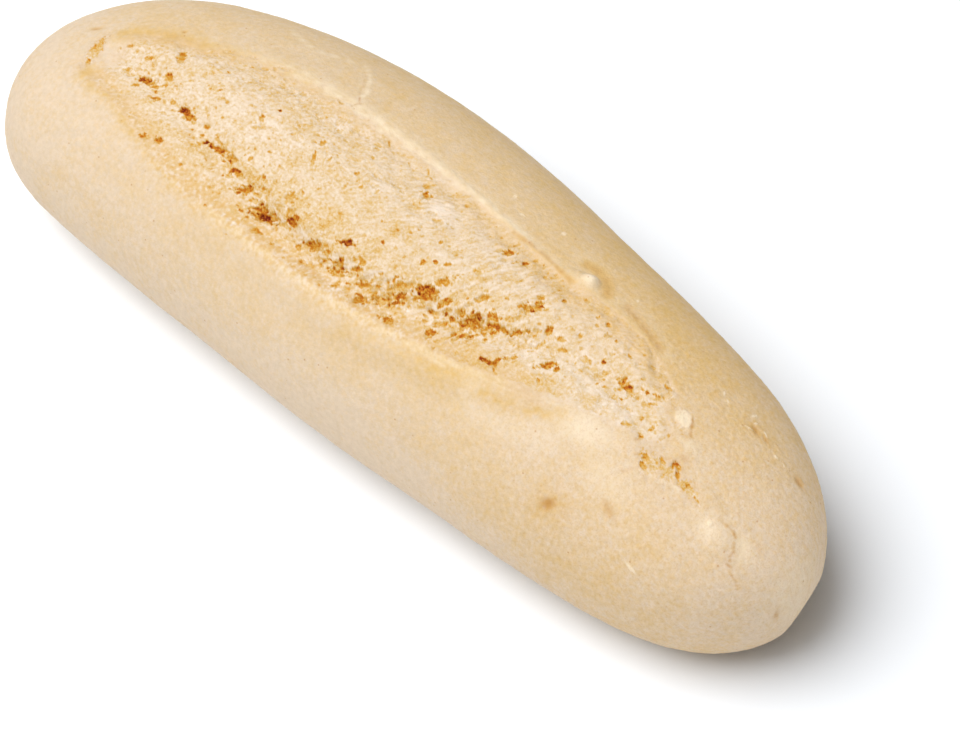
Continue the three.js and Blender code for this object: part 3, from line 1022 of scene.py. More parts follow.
    def spread(self, skin: Skin, lines: Lines, score: Score) -> Array:
        """Give how much of each point is crumb.

        Args:
            skin: the grid of points.
            lines: the score's lines.
            score: the score that the crumb lies in.

        Returns:
            0 on the crust, up to 1 in the crumb.
        """
        x, a = skin.x, skin.a
        far_run = track(score.far_run, skin.u)[:, None]
        edge = self.edge.read(x, a)
        across = smoothstep((a - lines.far) / far_run + self.far_edge_wander * edge, *self.far_edge)
        across = across * smoothstep(lines.near - a + edge, 0, self.near_edge)
        last = x + self.end_wander * edge + self.far_end_sooner * smoothstep(a, *self.far_side)
        started = smoothstep(x + self.start_wander * edge, *self.start)
        return across * started * (1 - smoothstep(last, *self.end))

    def toned(self, skin: Skin, lines: Lines, wx: Array, wa: Array) -> Array:
        """Give the crumb's shade before it is torn.

        Args:
            skin: the grid of points.
            lines: the score's lines.
            wx: the points' places along the loaf, warped.
            wa: the points' places round the skin, warped.

        Returns:
            The shade, 0 where the crumb is palest.
        """
        x, a = skin.x, skin.a
        blotches = smoothstep(self.stain_blotches.read(wx, wa), *self.stain_edge)
        # the stain along the tear is partly painted shade of its valley
        shade = self.plain_shade + self.mottle.read(x, a) + blotches * self.stain.read(x, a - lines.tear)
        shade = shade + self.near_bed.read(x, a) + self.far_rim.read(x, a - lines.far)
        shade = shade + self.far_hollow.tone(x, a - lines.far)
        shade = shade - self.late_pale * smoothstep(x, *self.late_pale_over)
        return shade + sum(tone.tone(x, a) for tone in self.tones)

    def crowding(self, x: Array, away: Array) -> Array:
        """Give how crowded the bubbles are, most of all along the tear.

        Args:
            x: places along the loaf.
            away: how far they are from the tear, above 0 on its near side.

        Returns:
            The share of the most crowded, from 0 to 1.
        """
        crowd = self.least_bubbles + self.more_bubbles.read(x, away)
        crowd = crowd * self.fewer_by_near_wall.read(away)
        return crowd * self.fewer_at_broad_end.read(x) * self.fewer_at_narrow_end.read(x)

    def strand_shares(self, x: Array) -> list[Array]:
        """Weigh the directions of the strands, from along the loaf to slanting across it.

        Args:
            x: places along the loaf.

        Returns:
            The weight of each direction at each place.
        """
        slanting = smoothstep(x, *self.slanting_over)
        steepest = bell(x - self.steepest_at, self.steepest_reach)
        return [1 - slanting, slanting * (1 - steepest), slanting * steepest]

    def work(self, skin: Skin, relief: Relief, lines: Lines, score: Score) -> None:
        """Work the crumb into the skin.

        Args:
            skin: the grid of points.
            relief: the relief, which is changed.
            lines: the score's lines.
            score: the score that the crumb lies in.
        """
        x, a = skin.x, skin.a
        wx, wa = x + self.warp_along.read(x, a), a + self.warp_across.read(x, a)
        torn = self.crowding(x, a - lines.tear)
        combed = self.combed.read(x)
        height = self.lumps.read(x, a) + self.knobs.read(x, a)
        height = height + (1 - combed) * self.uncombed_lumps.read(wx, wa)
        shade = self.toned(skin, lines, wx, wa) + (1 - combed) * self.uncombed_tone.read(wx, wa)
        foams = [(foam, torn) for foam in self.foams]
        for strands, share in zip(self.strands, self.strand_shares(x)):
            c, s = math.cos(strands.turn), math.sin(strands.turn)
            along, across = wx * c + wa * s, wa * c - wx * s
            ridge = 0.5 - 2 * np.abs(noise(along / strands.length, across / self.strand_width, 61))
            streak = fractal(along / strands.length, across / self.streak_width, 63, 3)
            height = height + share * combed * strands.height * ridge
            shade = shade + share * combed * strands.streak * streak
            for foam, crowd in (*foams, (self.dashes, torn * strands.dashes)):
                hollow, brown = foam.read(along, across, crowd)
                height = height + share * hollow
                shade = shade + share * np.maximum(brown - self.plain_shade, 0)
        mask = self.spread(skin, lines, score)
        relief.height += mask * height
        relief.add(Layer.CRUMB, mask)
        relief.add(Layer.SHADE, mask * np.clip(shade, 0, 1))
        torn_walls = smoothstep(self.torn_walls.read(wx, wa), *self.torn_wall_edge)
        bubbles = (self.walls.read(wx, wa)[1] + torn_walls) / 2
        wander = self.torn_edge.wander(x, a)
        for mark in (*self.pockets, *self.loose_pits.scatter(score)):
            self.torn_edge.tear_out(mark, skin, relief, wander, bubbles)


# ---------------------------------------------------------------- the crust


@dataclass(frozen=True)
class Browning:
    """How golden the crust is, in rows along the loaf, each at its own distance round the skin."""

    rows: tuple[tuple[float, tuple[float, ...]], ...] = (
        (-30, (0.20, 0.40, 0.50, 0.55, 0.58, 0.74, 0.75, 0.58, 0.40)),
        (-14, (0.11, 0.46, 0.34, 0.42, 0.46, 0.62, 0.74, 0.56, 0.15)),
        (8, (0.02, 0.15, 0.22, 0.22, 0.22, 0.22, 0.16, 0.28, 0.12)),
        (22, (0.08, 0.11, 0.22, 0.26, 0.26, 0.34, 0.20, 0.38, 0.11)),
        (34, (0.00, 0.11, 0.22, 0.30, 0.26, 0.30, 0.45, 0.45, 0.22)),
        (48, (0.00, 0.04, 0.08, 0.08, 0.00, 0.00, 0.11, 0.30, 0.30)),
    )

    def read(self, skin: Skin) -> Array:
        """Read how golden each point of the skin is.

        Args:
            skin: the grid of points.

        Returns:
            0 where the crust is pale, up to 1 where it is deep gold.
        """
        edges = [edge for edge, _ in self.rows]
        tones = [track(values, skin.u)[:, None] for _, values in self.rows]
        gold = np.broadcast_to(tones[0], skin.a.shape)
        for k in range(1, len(edges)):
            gold = gold + (tones[k] - tones[k - 1]) * smoothstep(skin.a, edges[k - 1], edges[k])
        return gold


@dataclass(frozen=True)
class Crust:
    """The thin, pale, floury crust, with its blister, dimples and hairline cracks."""

    browning: Browning = field(default_factory=Browning)
    lumps: Unevenness = Unevenness(0.22, 24.0, 24.0, 81, 1, shift=(7, 3))
    ripples: Unevenness = Unevenness(0.12, 6.0, 6.0, 83)
    golden_edge: float = 0.9
    marks: tuple[Mark, ...] = (
        Mark("crust bridge", 70.5, 1.5, 9.0, 6.0, 0.4, 0, 0.1),
        Mark("near foot of the bridge", 61.5, 8.0, 8, 5, 0.3, 0, 0.5),
        Mark("crust past the second tear", 80.5, 6.0, 9, 7, 0.35, 0, 0.1),
        Mark("raised ring", 86.0, 8.4, 9, 8, 0.6, 0, 0),
        Mark("blister", 31.4, -11.0, 8.0, 4.0, 0.6, 0, -0.1),
        Mark("head of the blister", 32.8, -12.0, 4.4, 4.2, 0.9, 0, 0),
        Mark("dimple in the side", 56.7, 27.9, 4.6, 3.0, -0.15, 0.6, -0.9),
        Mark("tan skin by the blister", 34.8, -15.6, 8, 6, 0, 0.12),
        Mark("golden lip", -39.0, 24.3, 10, 4, 0, 0.13),
        Mark("golden fold by the near lip", 40.6, 14.6, 11, 4.2, 0, 0.2, -0.4),
        Mark("golden skin round the dimple", 57.2, 27.2, 13, 10, 0, 0.07, -0.6),
        Mark("shallow dimple", 67.0, 20.5, 4.6, 2.4, -0.12, 0.28, 0.2),
        Mark("dimple near the tip", 87.0, -13.7, 3.0, 2.2, -0.25, 0.45, 0.2),
        Mark("flaked spot", 75.3, -13.3, 3.2, 2.0, -0.2, 0.45, 0.3),
        Mark("floury patch past the near lip", 54.0, 12.6, 15, 8, 0, -0.7, -0.3),
        Mark("floury patch on the bridge", 70.5, 0.5, 7, 3.5, 0, -0.5, 0.1),
        Mark("floury below the second tear", 63.5, 16.4, 14, 9, 0, -0.35, 0),
        # painted light: the flat of the tip is paled as if lit from the narrow end
        Mark("painted light on the flat of the tip", 99.2, 0.5, 7, 26, 0, -0.4, 0),
        Mark("floury patch in the ring", 83.5, 9.0, 8, 6, 0, -0.5, 0),
        Mark("floury patch past the ring", 90.0, 6.0, 6, 5, 0, -0.5, 0),
        Mark("yellow streak at the tip", 98.9, 8.2, 0.5, 3.4, 0, 0.45, 0),
        Mark("browned far margin", -68.5, -4.8, 17.0, 2.6, 0, 0.14, -0.06),
        Mark("golden dimple on the bridge", 71.7, 3.2, 3.4, 1.7, -0.15, 0.2, -0.1),
        Mark("tan shade past the ring", 91.7, 3.5, 3.0, 2.4, 0, 0.12, 0),
        Mark("tan smudge", 77.8, -13.6, 2.6, 1.2, -0.1, 0.35, 0.4),
        Mark("tan fleck", -86.5, -1.4, 2.8, 1.3, -0.25, 0.38, -0.5),
        Mark("tan fleck", -70.1, -7.1, 1.1, 0.9, -0.2, 0.4, 0),
    )
    flakes: tuple[Mark, ...] = (
        Mark("flake", 66.4, -14.0, 1.5, 0.5, 0.08, 0, 0.9),
        Mark("flake", 68.0, -13.2, 1.2, 0.6, 0.08, 0, 0.3),
        Mark("flake", 73.0, -15.8, 0.6, 2.2, 0.1, 0, 0.2),
        Mark("flake", 74.4, -14.6, 0.5, 1.3, 0.08, 0, 0.3),
        Mark("flake", 76.9, -14.6, 2.0, 0.5, 0.1, 0, 0.4),
        Mark("flake", 74.6, -12.4, 2.4, 0.4, 0.1, 0, -0.5),
        Mark("flake", 81.5, -12.6, 1.2, 0.8, 0.1, 0, 0.2),
        Mark("flake", 83.4, -12.8, 1.0, 0.5, 0.1, 0, 0.5),
        Mark("flake", 76.1, 25.4, 3.4, 0.8, 0.1, 0, 0.05),
        Mark("flake", 8.0, -16.6, 1.0, 0.5, 0.08, 0, 0.4),
        Mark("flake", 12.4, -14.0, 1.6, 0.4, 0.08, 0, -0.2),
        Mark("flake", 20.6, -17.4, 1.2, 0.5, 0.08, 0, 0.1),
        Mark("flake", 41.2, -16.4, 0.9, 0.6, 0.08, 0, 0.9),
        Mark("cap of the blister", 32.4, -12.7, 4.0, 1.9, 0.12, 0, -0.15),
        Mark("floury spot by the ring", 82.8, 8.0, 1.3, 0.9, 0.1, 0, 0.6),
        Mark("flap of crust", 66.1, -2.6, 5.0, 3.9, 0.2, 0, 0.45),
        Mark("flake past the tear", 82.8, 8.2, 1.4, 1.1, 0.12, 0, 0.2),
    )
    cracks: tuple[Crack, ...] = (
        # a chain of short cracks past the raised ring
        Crack(((84.1, 6.2), (85.3, 5.9), (86.4, 5.7)), 0.28, 0.0, 0.25, 0, 0.4),
        Crack(((86.7, 5.6), (87.6, 6.0)), 0.34, 0.0, 0.7, 0, 0.5),
        Crack(((88.2, 6.8), (88.7, 7.6), (89.1, 8.6), (89.3, 9.5)), 0.28, 0.0, 0.52, 0, 0.6),
        Crack(((89.6, 10.3), (90.2, 10.2)), 0.36, 0.0, 0.75, 0, 0.5),
        Crack(((90.6, 10.8), (91.4, 11.0), (92.2, 11.0), (93.1, 11.7)), 0.26, 0.0, 0.42, 0, 0.3),
        # the edge of the flap, and the corner and the pale lip of the second tear
        Crack(((66.7, -4.2), (67.8, -2.7), (69.2, -1.0)), 0.32, 0.0, 0.6, 0, 0.7),
        Crack(((66.4, 10.9), (65.6, 12.2), (64.8, 13.4)), 0.34, 0.02, 0.3),
        Crack(((66.8, 11.2), (69.5, 9.9), (72.5, 8.9), (76.0, 7.7)), 0.5, -0.1, 0.0, 0.6),
        # the fold down the far side, from the broad end to the far lip
        Crack(((-56.0, -22.0), (-47.2, -18.5), (-42.5, -20.8), (-37.5, -22.8)), 0.6, -0.1, 0.0, 0.6),
        Crack(
            ((-37.5, -22.8), (-35.0, -20.5), (-32.8, -18.2), (-30.8, -15.0), (-30.2, -12.5)),
            0.6,
            -0.12,
            0.0,
            0.8,
        ),
        Crack(((-36.8, -21.4), (-33.6, -17.6), (-31.4, -13.6)), 0.4, 0.05, 0.16),
        # short tears along the far lip
        Crack(((-30.4, -12.6), (-29.3, -11.2), (-29.6, -9.6)), 0.34, 0.06, 0.6),
        Crack(((-18.4, -8.2), (-17.2, -6.8), (-15.3, -6.2)), 0.34, 0.06, 0.65),
        Crack(((-11.4, -6.6), (-10.4, -5.9)), 0.34, 0.06, 0.55),
        Crack(((-7.6, -8.0), (-6.8, -7.2), (-5.2, -6.8)), 0.34, 0.06, 0.65),
        # the foot of the bridge
        Crack(((65.5, 11.5), (64.2, 14.0), (62.3, 17.8)), 0.35, 0.05, 0.12),
        # creases round the blister and along the far lip beside it, their tan partly painted shade, on the
        # blister's shaded side and in the groove
        Crack(
            ((29.3, -14.9), (31.5, -15.5), (33.8, -15.1), (35.8, -13.7), (37.0, -11.8)),
            1.3,
            0.08,
            0.3,
            gold=1.0,
        ),
        Crack(((41.5, -13.2), (46.0, -12.4), (49.0, -11.6), (52.0, -10.7)), 1.2, 0.08, 0.3),
        Crack(
            ((15.0, -8.8), (19.0, -9.4), (23.0, -9.5), (27.0, -9.1), (30.5, -8.6)),
            0.7,
            0.12,
            0.36,
            gold=0.5,
        ),
        Crack(((43.0, -9.3), (46.5, -9.5)), 0.6, 0.05, 0.15, 0, 0.4),
        # golden hollows of the near fold, and its pale ridges
        Crack(((35.5, 20.1), (38.0, 19.2), (44.0, 16.4), (49.0, 13.6)), 2.3, 0.08, 0.04, 0, 0.62),
        Crack(((22.0, 23.2), (27.0, 22.2), (30.5, 21.4)), 2.6, 0.0, 0.0, 0, 0.34),
        Crack(
            ((26.5, 19.6), (32.2, 18.4), (36.6, 17.1), (41.0, 15.4), (45.0, 13.6), (50.0, 11.4)),
            0.5,
            -0.16,
            0.0,
            0.5,
        ),
        Crack(((10.0, 23.4), (18.0, 22.4), (25.0, 21.2)), 0.6, -0.12, 0.0, 0.5),
        Crack(((6.0, 22.4), (14.0, 20.4), (22.0, 18.2), (27.0, 17.2)), 0.7, -0.12, 0.0, 0.2),
    )
    near_gold: tuple[Band, ...] = (
        Band(-2.0, 2.7, 0.9, end=(46, 34)),
        Band(-2.0, 2.7, 0.3, end=(10, -20)),
        Band(4.0, 4.0, 0.25, (-20, 10), (40, 25)),
    )
    near_gold_gap: Mark = Mark("gap in the near lip's gold", -7, -2, 18.667, 7.2, 0, -0.4)
    far_gold: tuple[Band, ...] = (Band(3.2, 2.6, 0.75), Band(3.2, 2.6, 0.525, end=(-55, -75)))
    far_gold_thins: float = 0.6
    far_gold_thin_at: float = -10.0
    far_gold_thin_reach: float = 18.0
    near_brown: tuple[Band, ...] = (
        Band(-2.0, 3.5, 0.3, end=(40, 0)),
        Band(-2.0, 3.5, 0.7, (-62, -44), (40, 0)),
    )
    floury_far_rim: Band = Band(0.0, 1.0, 0.8, (-70, -30), (44, 10))
    rim_at: float = -0.6
    rim_broadens_over: tuple[float, float] = (16.0, -6.0)
    rim_moves_by: float = 1.9
    rim_broadens_by: float = 1.3
    floury_near_lip: Band = Band(0.2, 1.0, 0.5, (-60, -30), (50, 42))
    # painted highlight on the top of the blister, drawn in the flour colour
    blister_painted_highlight: Mark = Mark("painted highlight on the blister", 32.6, -11.8, 4.8, 4.8, 0, 1.0)
    patches: Unevenness = Unevenness(0.5, 6.0, 4.0, 91, middle=0.75)
    dapples: Unevenness = Unevenness(0.5, 1.1, 1.1, 95, 2)
    worn: Unevenness = Unevenness(0.9, 2.2, 1.2, 93, middle=0.75)
    grain: Unevenness = Unevenness(1.0, 0.8, 0.8, 99, 2)
    grain_height: float = 0.09
    grain_least: float = 0.25
    grain_beside: float = 2.0
    grain_gold: float = 0.3
    grain_gold_beside: float = 0.9
    grain_brown: float = 0.16
    grain_brown_beside: float = 0.06
    grain_brown_from: float = 0.05
    grain_brown_lost_in_crumb: float = 0.5
    pores_least: float = 0.2
    pores_beside: float = 0.8
    grainier_over: tuple[float, float] = (0.0, 70.0)
    flake_edge: Unevenness = Unevenness(0.35, 1.1, 1.1, 85, 2)
    flake_fades: tuple[float, float] = (0.7, 1.0)
    flake_flour: float = 0.9
    flake_flour_fades: tuple[float, float] = (0.5, 1.1)
    mark_steepness: float = 1.5
    mark_flour_and_light_reach: float = 0.8
    crack_reach: float = 0.8
    crack_wander: Unevenness = Unevenness(0.3, 1.3, 1.3, 87, 1)
    crack_brown: Unevenness = Unevenness(0.5, 1.0, 1.0, 88, 1, middle=0.7)
    crack_dust: float = 0.2
    crack_dust_at: float = 1.8
    crack_dust_reach: float = 1.1
    ridge_breaks: Unevenness = Unevenness(0.8, 2.5, 2.5, 97, 2, middle=0.7)
    gold_spread: Unevenness = Unevenness(0.6, 3.5, 2.5, 103)

    def bake(self, skin: Skin, relief: Relief, lines: Lines) -> None:
        """Give the crust its unevenness, its marks and its tints.

        Args:
            skin: the grid of points.
            relief: the relief, which is changed.
            lines: the score's lines, whose lips are tinted.
        """
        x, a = skin.x, skin.a
        relief.height += self.lumps.read(x, a) + self.ripples.read(x, a)
        for mark in self.marks:
            self.set_mark(mark, x, a, relief)
        for flake in self.flakes:
            away = flake.inside(x, a) + self.flake_edge.read(x, a)
            relief.height += flake.height * (1 - smoothstep(away, *self.flake_fades))
            flour = 1 - smoothstep(away, *self.flake_flour_fades)
            relief.raise_to(Layer.PALE, self.flake_flour * flour)
        self.split(x, a, relief)
        self.tint(x, a, relief, lines)
        relief.add(Layer.GOLD, self.browning.read(skin))

    def set_mark(self, mark: Mark, x: Array, a: Array, relief: Relief) -> None:
        """Set one mark into the crust: brown with a golden edge, or pale, which is flour on most marks and
        painted light on the flat of the tip.

        Args:
            mark: the mark.
            x: the points' places along the loaf.
            a: the points' places round the skin.
            relief: the relief, which is changed.
        """
        away = mark.inside(x, a)
        relief.height += mark.height * np.clip(1 - away**2, 0, 1) ** self.mark_steepness
        relief.raise_to(Layer.SHADE, mark.tone(x, a))
        relief.raise_to(Layer.PALE, -mark.shade * bell(away, self.mark_flour_and_light_reach))
        relief.add(Layer.GOLD, self.golden_edge * max(mark.shade, 0) * bell(away, 1))

    def split(self, x: Array, a: Array, relief: Relief) -> None:
        """Split the crust along its cracks, and raise its ridges.

        Args:
            x: the points' places along the loaf.
            a: the points' places round the skin.
            relief: the relief, which is changed.
        """
        broken, spread = self.ridge_breaks.read(x, a), self.gold_spread.read(x, a)
        browned = self.crack_brown.read(x, a)
        for crack in self.cracks:
            away = crack.distance(x + self.crack_wander.read(x, a), a) / crack.width
            line = bell(away, self.crack_reach)
            dust = bell(away - self.crack_dust_at, self.crack_dust_reach) if crack.depth > 0 else 0
            relief.height -= crack.depth * line * (broken if crack.depth < 0 else 1)
            relief.raise_to(Layer.SHADE, crack.shade * line * browned)
            relief.raise_to(Layer.PALE, crack.pale * line * broken + self.crack_dust * dust)
            relief.add(Layer.GOLD, crack.gold * bell(away + spread, self.crack_reach) * broken)

    def tint(self, x: Array, a: Array, relief: Relief, lines: Lines) -> None:
        """Lay on the golden, the grainy and the floury areas beside the score, and the painted highlight on
        the blister.

        Args:
            x: the points' places along the loaf.
            a: the points' places round the skin.
            relief: the relief, which is changed.
            lines: the score's lines.
        """
        by_far, by_near = a - lines.far, a - lines.near
        crumb = relief.layers[Layer.CRUMB]
        patchy = self.patches.read(x, a) + self.dapples.read(x, a)
        near_gold = sum(band.read(x, by_near) for band in self.near_gold)
        near_gold = near_gold + self.near_gold_gap.tone(x, by_near)
        thinned = 1 - self.far_gold_thins * bell(x - self.far_gold_thin_at, self.far_gold_thin_reach)
        far_gold = thinned * sum(band.read(x, by_far) for band in self.far_gold)
        beside = lines.opening * sum(band.read(x, by_near) for band in self.near_brown)
        late = smoothstep(x, *self.grainier_over)
        grainy = self.grain_least + (1 - self.grain_least) * late + self.grain_beside * beside
        porous = self.pores_least + (1 - self.pores_least) * late + self.pores_beside * beside
        grain = self.grain.read(x, a) * grainy
        relief.height += self.grain_height * grain * (1 - crumb)
        relief.add(Layer.GRAIN, np.clip(porous, 0, 1))
        relief.add(Layer.GOLD, lines.opening * patchy * (near_gold + far_gold))
        relief.add(Layer.GOLD, (self.grain_gold + self.grain_gold_beside * beside) * grain)
        brown = self.grain_brown + self.grain_brown_beside * beside
        brown = brown * np.clip(grain - self.grain_brown_from, 0, 1)
        relief.add(Layer.SHADE, brown * (1 - self.grain_brown_lost_in_crumb * crumb))
        broad = smoothstep(x, *self.rim_broadens_over)
        by_rim = (by_far - self.rim_at - self.rim_moves_by * broad) / (1 + self.rim_broadens_by * broad)
        rim = self.floury_far_rim.read(x, by_rim)
        lip = self.floury_near_lip.read(x, by_near)
        worn = self.worn.read(x, a) * (rim + lip)
        # painted highlight: the top of the blister is paled where the light catches it
        blister = self.blister_painted_highlight.tone(x, a)
        relief.raise_to(Layer.PALE, np.clip(lines.opening * worn + blister, 0, 1))



# ---------------------------------------------------------------- materials


def srgb(code: str) -> tuple[float, float, float, float]:
    """Turn an sRGB colour to linear.

    Args:
        code: the colour as hex, such as "#D4C0A7".

    Returns:
        Linear red, green, blue and alpha.
    """
    parts = [int(code[i : i + 2], 16) / 255 for i in (1, 3, 5)]
    linear = [p / 12.92 if p <= 0.04045 else ((p + 0.055) / 1.055) ** 2.4 for p in parts]
    return (*linear, 1.0)


def per_metre(size_mm: float) -> float:
    """Turn the real size of a pattern's grain into a texture's scale."""
    return 1 / (size_mm * MM)


def add_node(
    tree: bpy.types.NodeTree,
    kind: str,
    settings: dict[str, object] | None = None,
    inputs: dict[str | int, object] | None = None,
) -> bpy.types.Node:
    """Add a node with its settings and its inputs.

    Args:
        tree: the material's node tree.
        kind: the node's type.
        settings: properties of the node, by name, and a ramp's places and colours under "stops".
        inputs: what goes into the node, by the input's name or number: a socket to link, or a value.

    Returns:
        The node.
    """
    node = tree.nodes.new(kind)
    for name, value in (settings or {}).items():
        if name != "stops":
            setattr(node, name, value)
            continue
        elements = node.color_ramp.elements
        while len(elements) < len(value):
            elements.new(1.0)
        for element, (place, colour) in zip(elements, value):
            element.position, element.color = place, colour
    for name, value in (inputs or {}).items():
        if isinstance(value, bpy.types.NodeSocket):
            tree.links.new(value, node.inputs[name])
        else:
            node.inputs[name].default_value = value
    return node


FACTOR, UNDER, OVER, MIXED = 0, 6, 7, 2  # the sockets of a colour mix, which are known by their numbers


@dataclass(frozen=True)
class Canvas:
    """A material's node tree, with what every pattern in it reads."""

    tree: bpy.types.NodeTree
    layers: dict[Layer, bpy.types.NodeSocket]
    place: bpy.types.NodeSocket

    @classmethod
    def on(cls, material: bpy.types.Material) -> "Canvas":
        """Clear a material's node tree and read the skin's layers and places in it.

        Args:
            material: the material.

        Returns:
            The canvas.
        """
        material.use_nodes = True
        tree = material.node_tree
        tree.nodes.clear()
        reads = {
            layer: add_node(tree, "ShaderNodeAttribute", {"attribute_name": layer.value}).outputs["Fac"]
            for layer in Layer
        }
        return cls(tree, reads, add_node(tree, "ShaderNodeTexCoord").outputs["Object"])


@dataclass(frozen=True)
class Grain:
    """An uneven pattern: its real size, and how many finer layers it has and how rough they are."""

    size_mm: float
    detail: float
    roughness: float

    def inputs(self, canvas: Canvas) -> dict[str | int, object]:
        """Give what goes into the noise that draws it."""
        scale = per_metre(self.size_mm)
        return {"Vector": canvas.place, "Scale": scale, "Detail": self.detail, "Roughness": self.roughness}


@dataclass(frozen=True)
class CrustFinish:
    """Wheat crust, part-baked and cooled: thin, dry and dull, pale below and golden over the top."""

    pale: str = "#D4C0A7"
    golden: str = "#D0AE71"
    shadow: str = "#F4F3F1"
    # the flour colour also draws the painted light on the tip's flat and the painted highlight on the
    # blister
    flour: str = "#E1D0B4"
    brown: str = "#A4681F"
    patches: Grain = Grain(6.0, 4.0, 0.6)
    patch_strength: float = 0.9
    mottle: Grain = Grain(1.1, 3.0, 0.65)
    mottle_strength: float = 1.1
    dapple: Grain = Grain(1.2, 3.0, 0.7)
    dapple_stops: tuple[float, float] = (0.32, 0.68)
    pores: Grain = Grain(0.35, 2.0, 0.7)
    pore_range: tuple[float, float] = (0.5, 0.8)
    pore_strength: float = 0.3
    speck_mm: float = 3.2
    speck_stops: tuple[float, float] = (0.03, 0.085)
    speck_strength: float = 0.5

    def colour(self, canvas: Canvas) -> bpy.types.NodeSocket:
        """Mix the crust's colour: gold over pale, then flour and painted light, pores, specks, and browned
        marks, some of them painted shade.

        Args:
            canvas: the node tree and its inputs.

        Returns:
            The colour's socket.
        """
        tree, layers = canvas.tree, canvas.layers
        gold = layers[Layer.GOLD]
        for pattern, strength in ((self.patches, self.patch_strength), (self.mottle, self.mottle_strength)):
            uneven = add_node(tree, "ShaderNodeTexNoise", inputs=pattern.inputs(canvas)).outputs["Fac"]
            shift = add_node(
                tree,
                "ShaderNodeMath",
                {"operation": "MULTIPLY_ADD"},
                {0: uneven, 1: strength, 2: -strength / 2},
            )
            gold = add_node(
                tree, "ShaderNodeMath", {"operation": "ADD"}, {0: gold, 1: shift.outputs[0]}
            ).outputs[0]
        base = add_node(
            tree,
            "ShaderNodeMix",
            {"data_type": "RGBA"},
            {FACTOR: gold, UNDER: srgb(self.pale), OVER: srgb(self.golden)},
        )
        dapple = add_node(tree, "ShaderNodeTexNoise", inputs=self.dapple.inputs(canvas))
        shadow_end, light_end = self.dapple_stops
        dimming = add_node(
            tree,
            "ShaderNodeValToRGB",
            {"stops": [(shadow_end, srgb(self.shadow)), (light_end, srgb("#FFFFFF"))]},
            {"Fac": dapple.outputs["Fac"]},
        )
        dappled = add_node(
            tree,
            "ShaderNodeMix",
            {"data_type": "RGBA", "blend_type": "MULTIPLY"},
            {FACTOR: 1.0, UNDER: base.outputs[MIXED], OVER: dimming.outputs["Color"]},
        )
        coats = (
            # the pale layer turns the crust to the flour colour: real flour, and painted light on the tip's
            # flat and a painted highlight on the blister
            (layers[Layer.PALE], self.flour),
            (self.pored(canvas), self.brown),
            (self.specked(canvas), self.brown),
            (layers[Layer.SHADE], self.brown),
        )
        colour = dappled.outputs[MIXED]
        for share, coat in coats:
            mixed = add_node(
                tree,
                "ShaderNodeMix",
                {"data_type": "RGBA"},
                {FACTOR: share, UNDER: colour, OVER: srgb(coat)},
            )
            colour = mixed.outputs[MIXED]
        return colour

    def pored(self, canvas: Canvas) -> bpy.types.NodeSocket:
        """Draw the pores, where the crust is grainy.

        Args:
            canvas: the node tree and its inputs.

        Returns:
            The socket of how dark the pores are.
        """
        tree = canvas.tree
        pores = add_node(tree, "ShaderNodeTexNoise", inputs=self.pores.inputs(canvas))
        least, most = self.pore_range
        pitted = add_node(
            tree,
            "ShaderNodeMapRange",
            {"clamp": True},
            {
                "Value": pores.outputs["Fac"],
                "From Min": least,
                "From Max": most,
                "To Min": 0.0,
                "To Max": self.pore_strength,
            },
        )
        porous = add_node(
            tree,
            "ShaderNodeMath",
            {"operation": "MULTIPLY"},
            {0: pitted.outputs[0], 1: canvas.layers[Layer.GRAIN]},
        )
        return porous.outputs[0]

    def specked(self, canvas: Canvas) -> bpy.types.NodeSocket:
        """Draw small brown specks, one to a cell.

        Args:
            canvas: the node tree and its inputs.

        Returns:
            The socket of how brown the specks are.
        """
        cells = add_node(
            canvas.tree,
            "ShaderNodeTexVoronoi",
            inputs={"Vector": canvas.place, "Scale": per_metre(self.speck_mm)},
        )
        core, edge = self.speck_stops
        strong = (self.speck_strength,) * 3 + (1,)
        specks = add_node(
            canvas.tree,
            "ShaderNodeValToRGB",
            {"stops": [(core, strong), (edge, (0, 0, 0, 1))]},
            {"Fac": cells.outputs["Distance"]},
        )
        return specks.outputs["Color"]


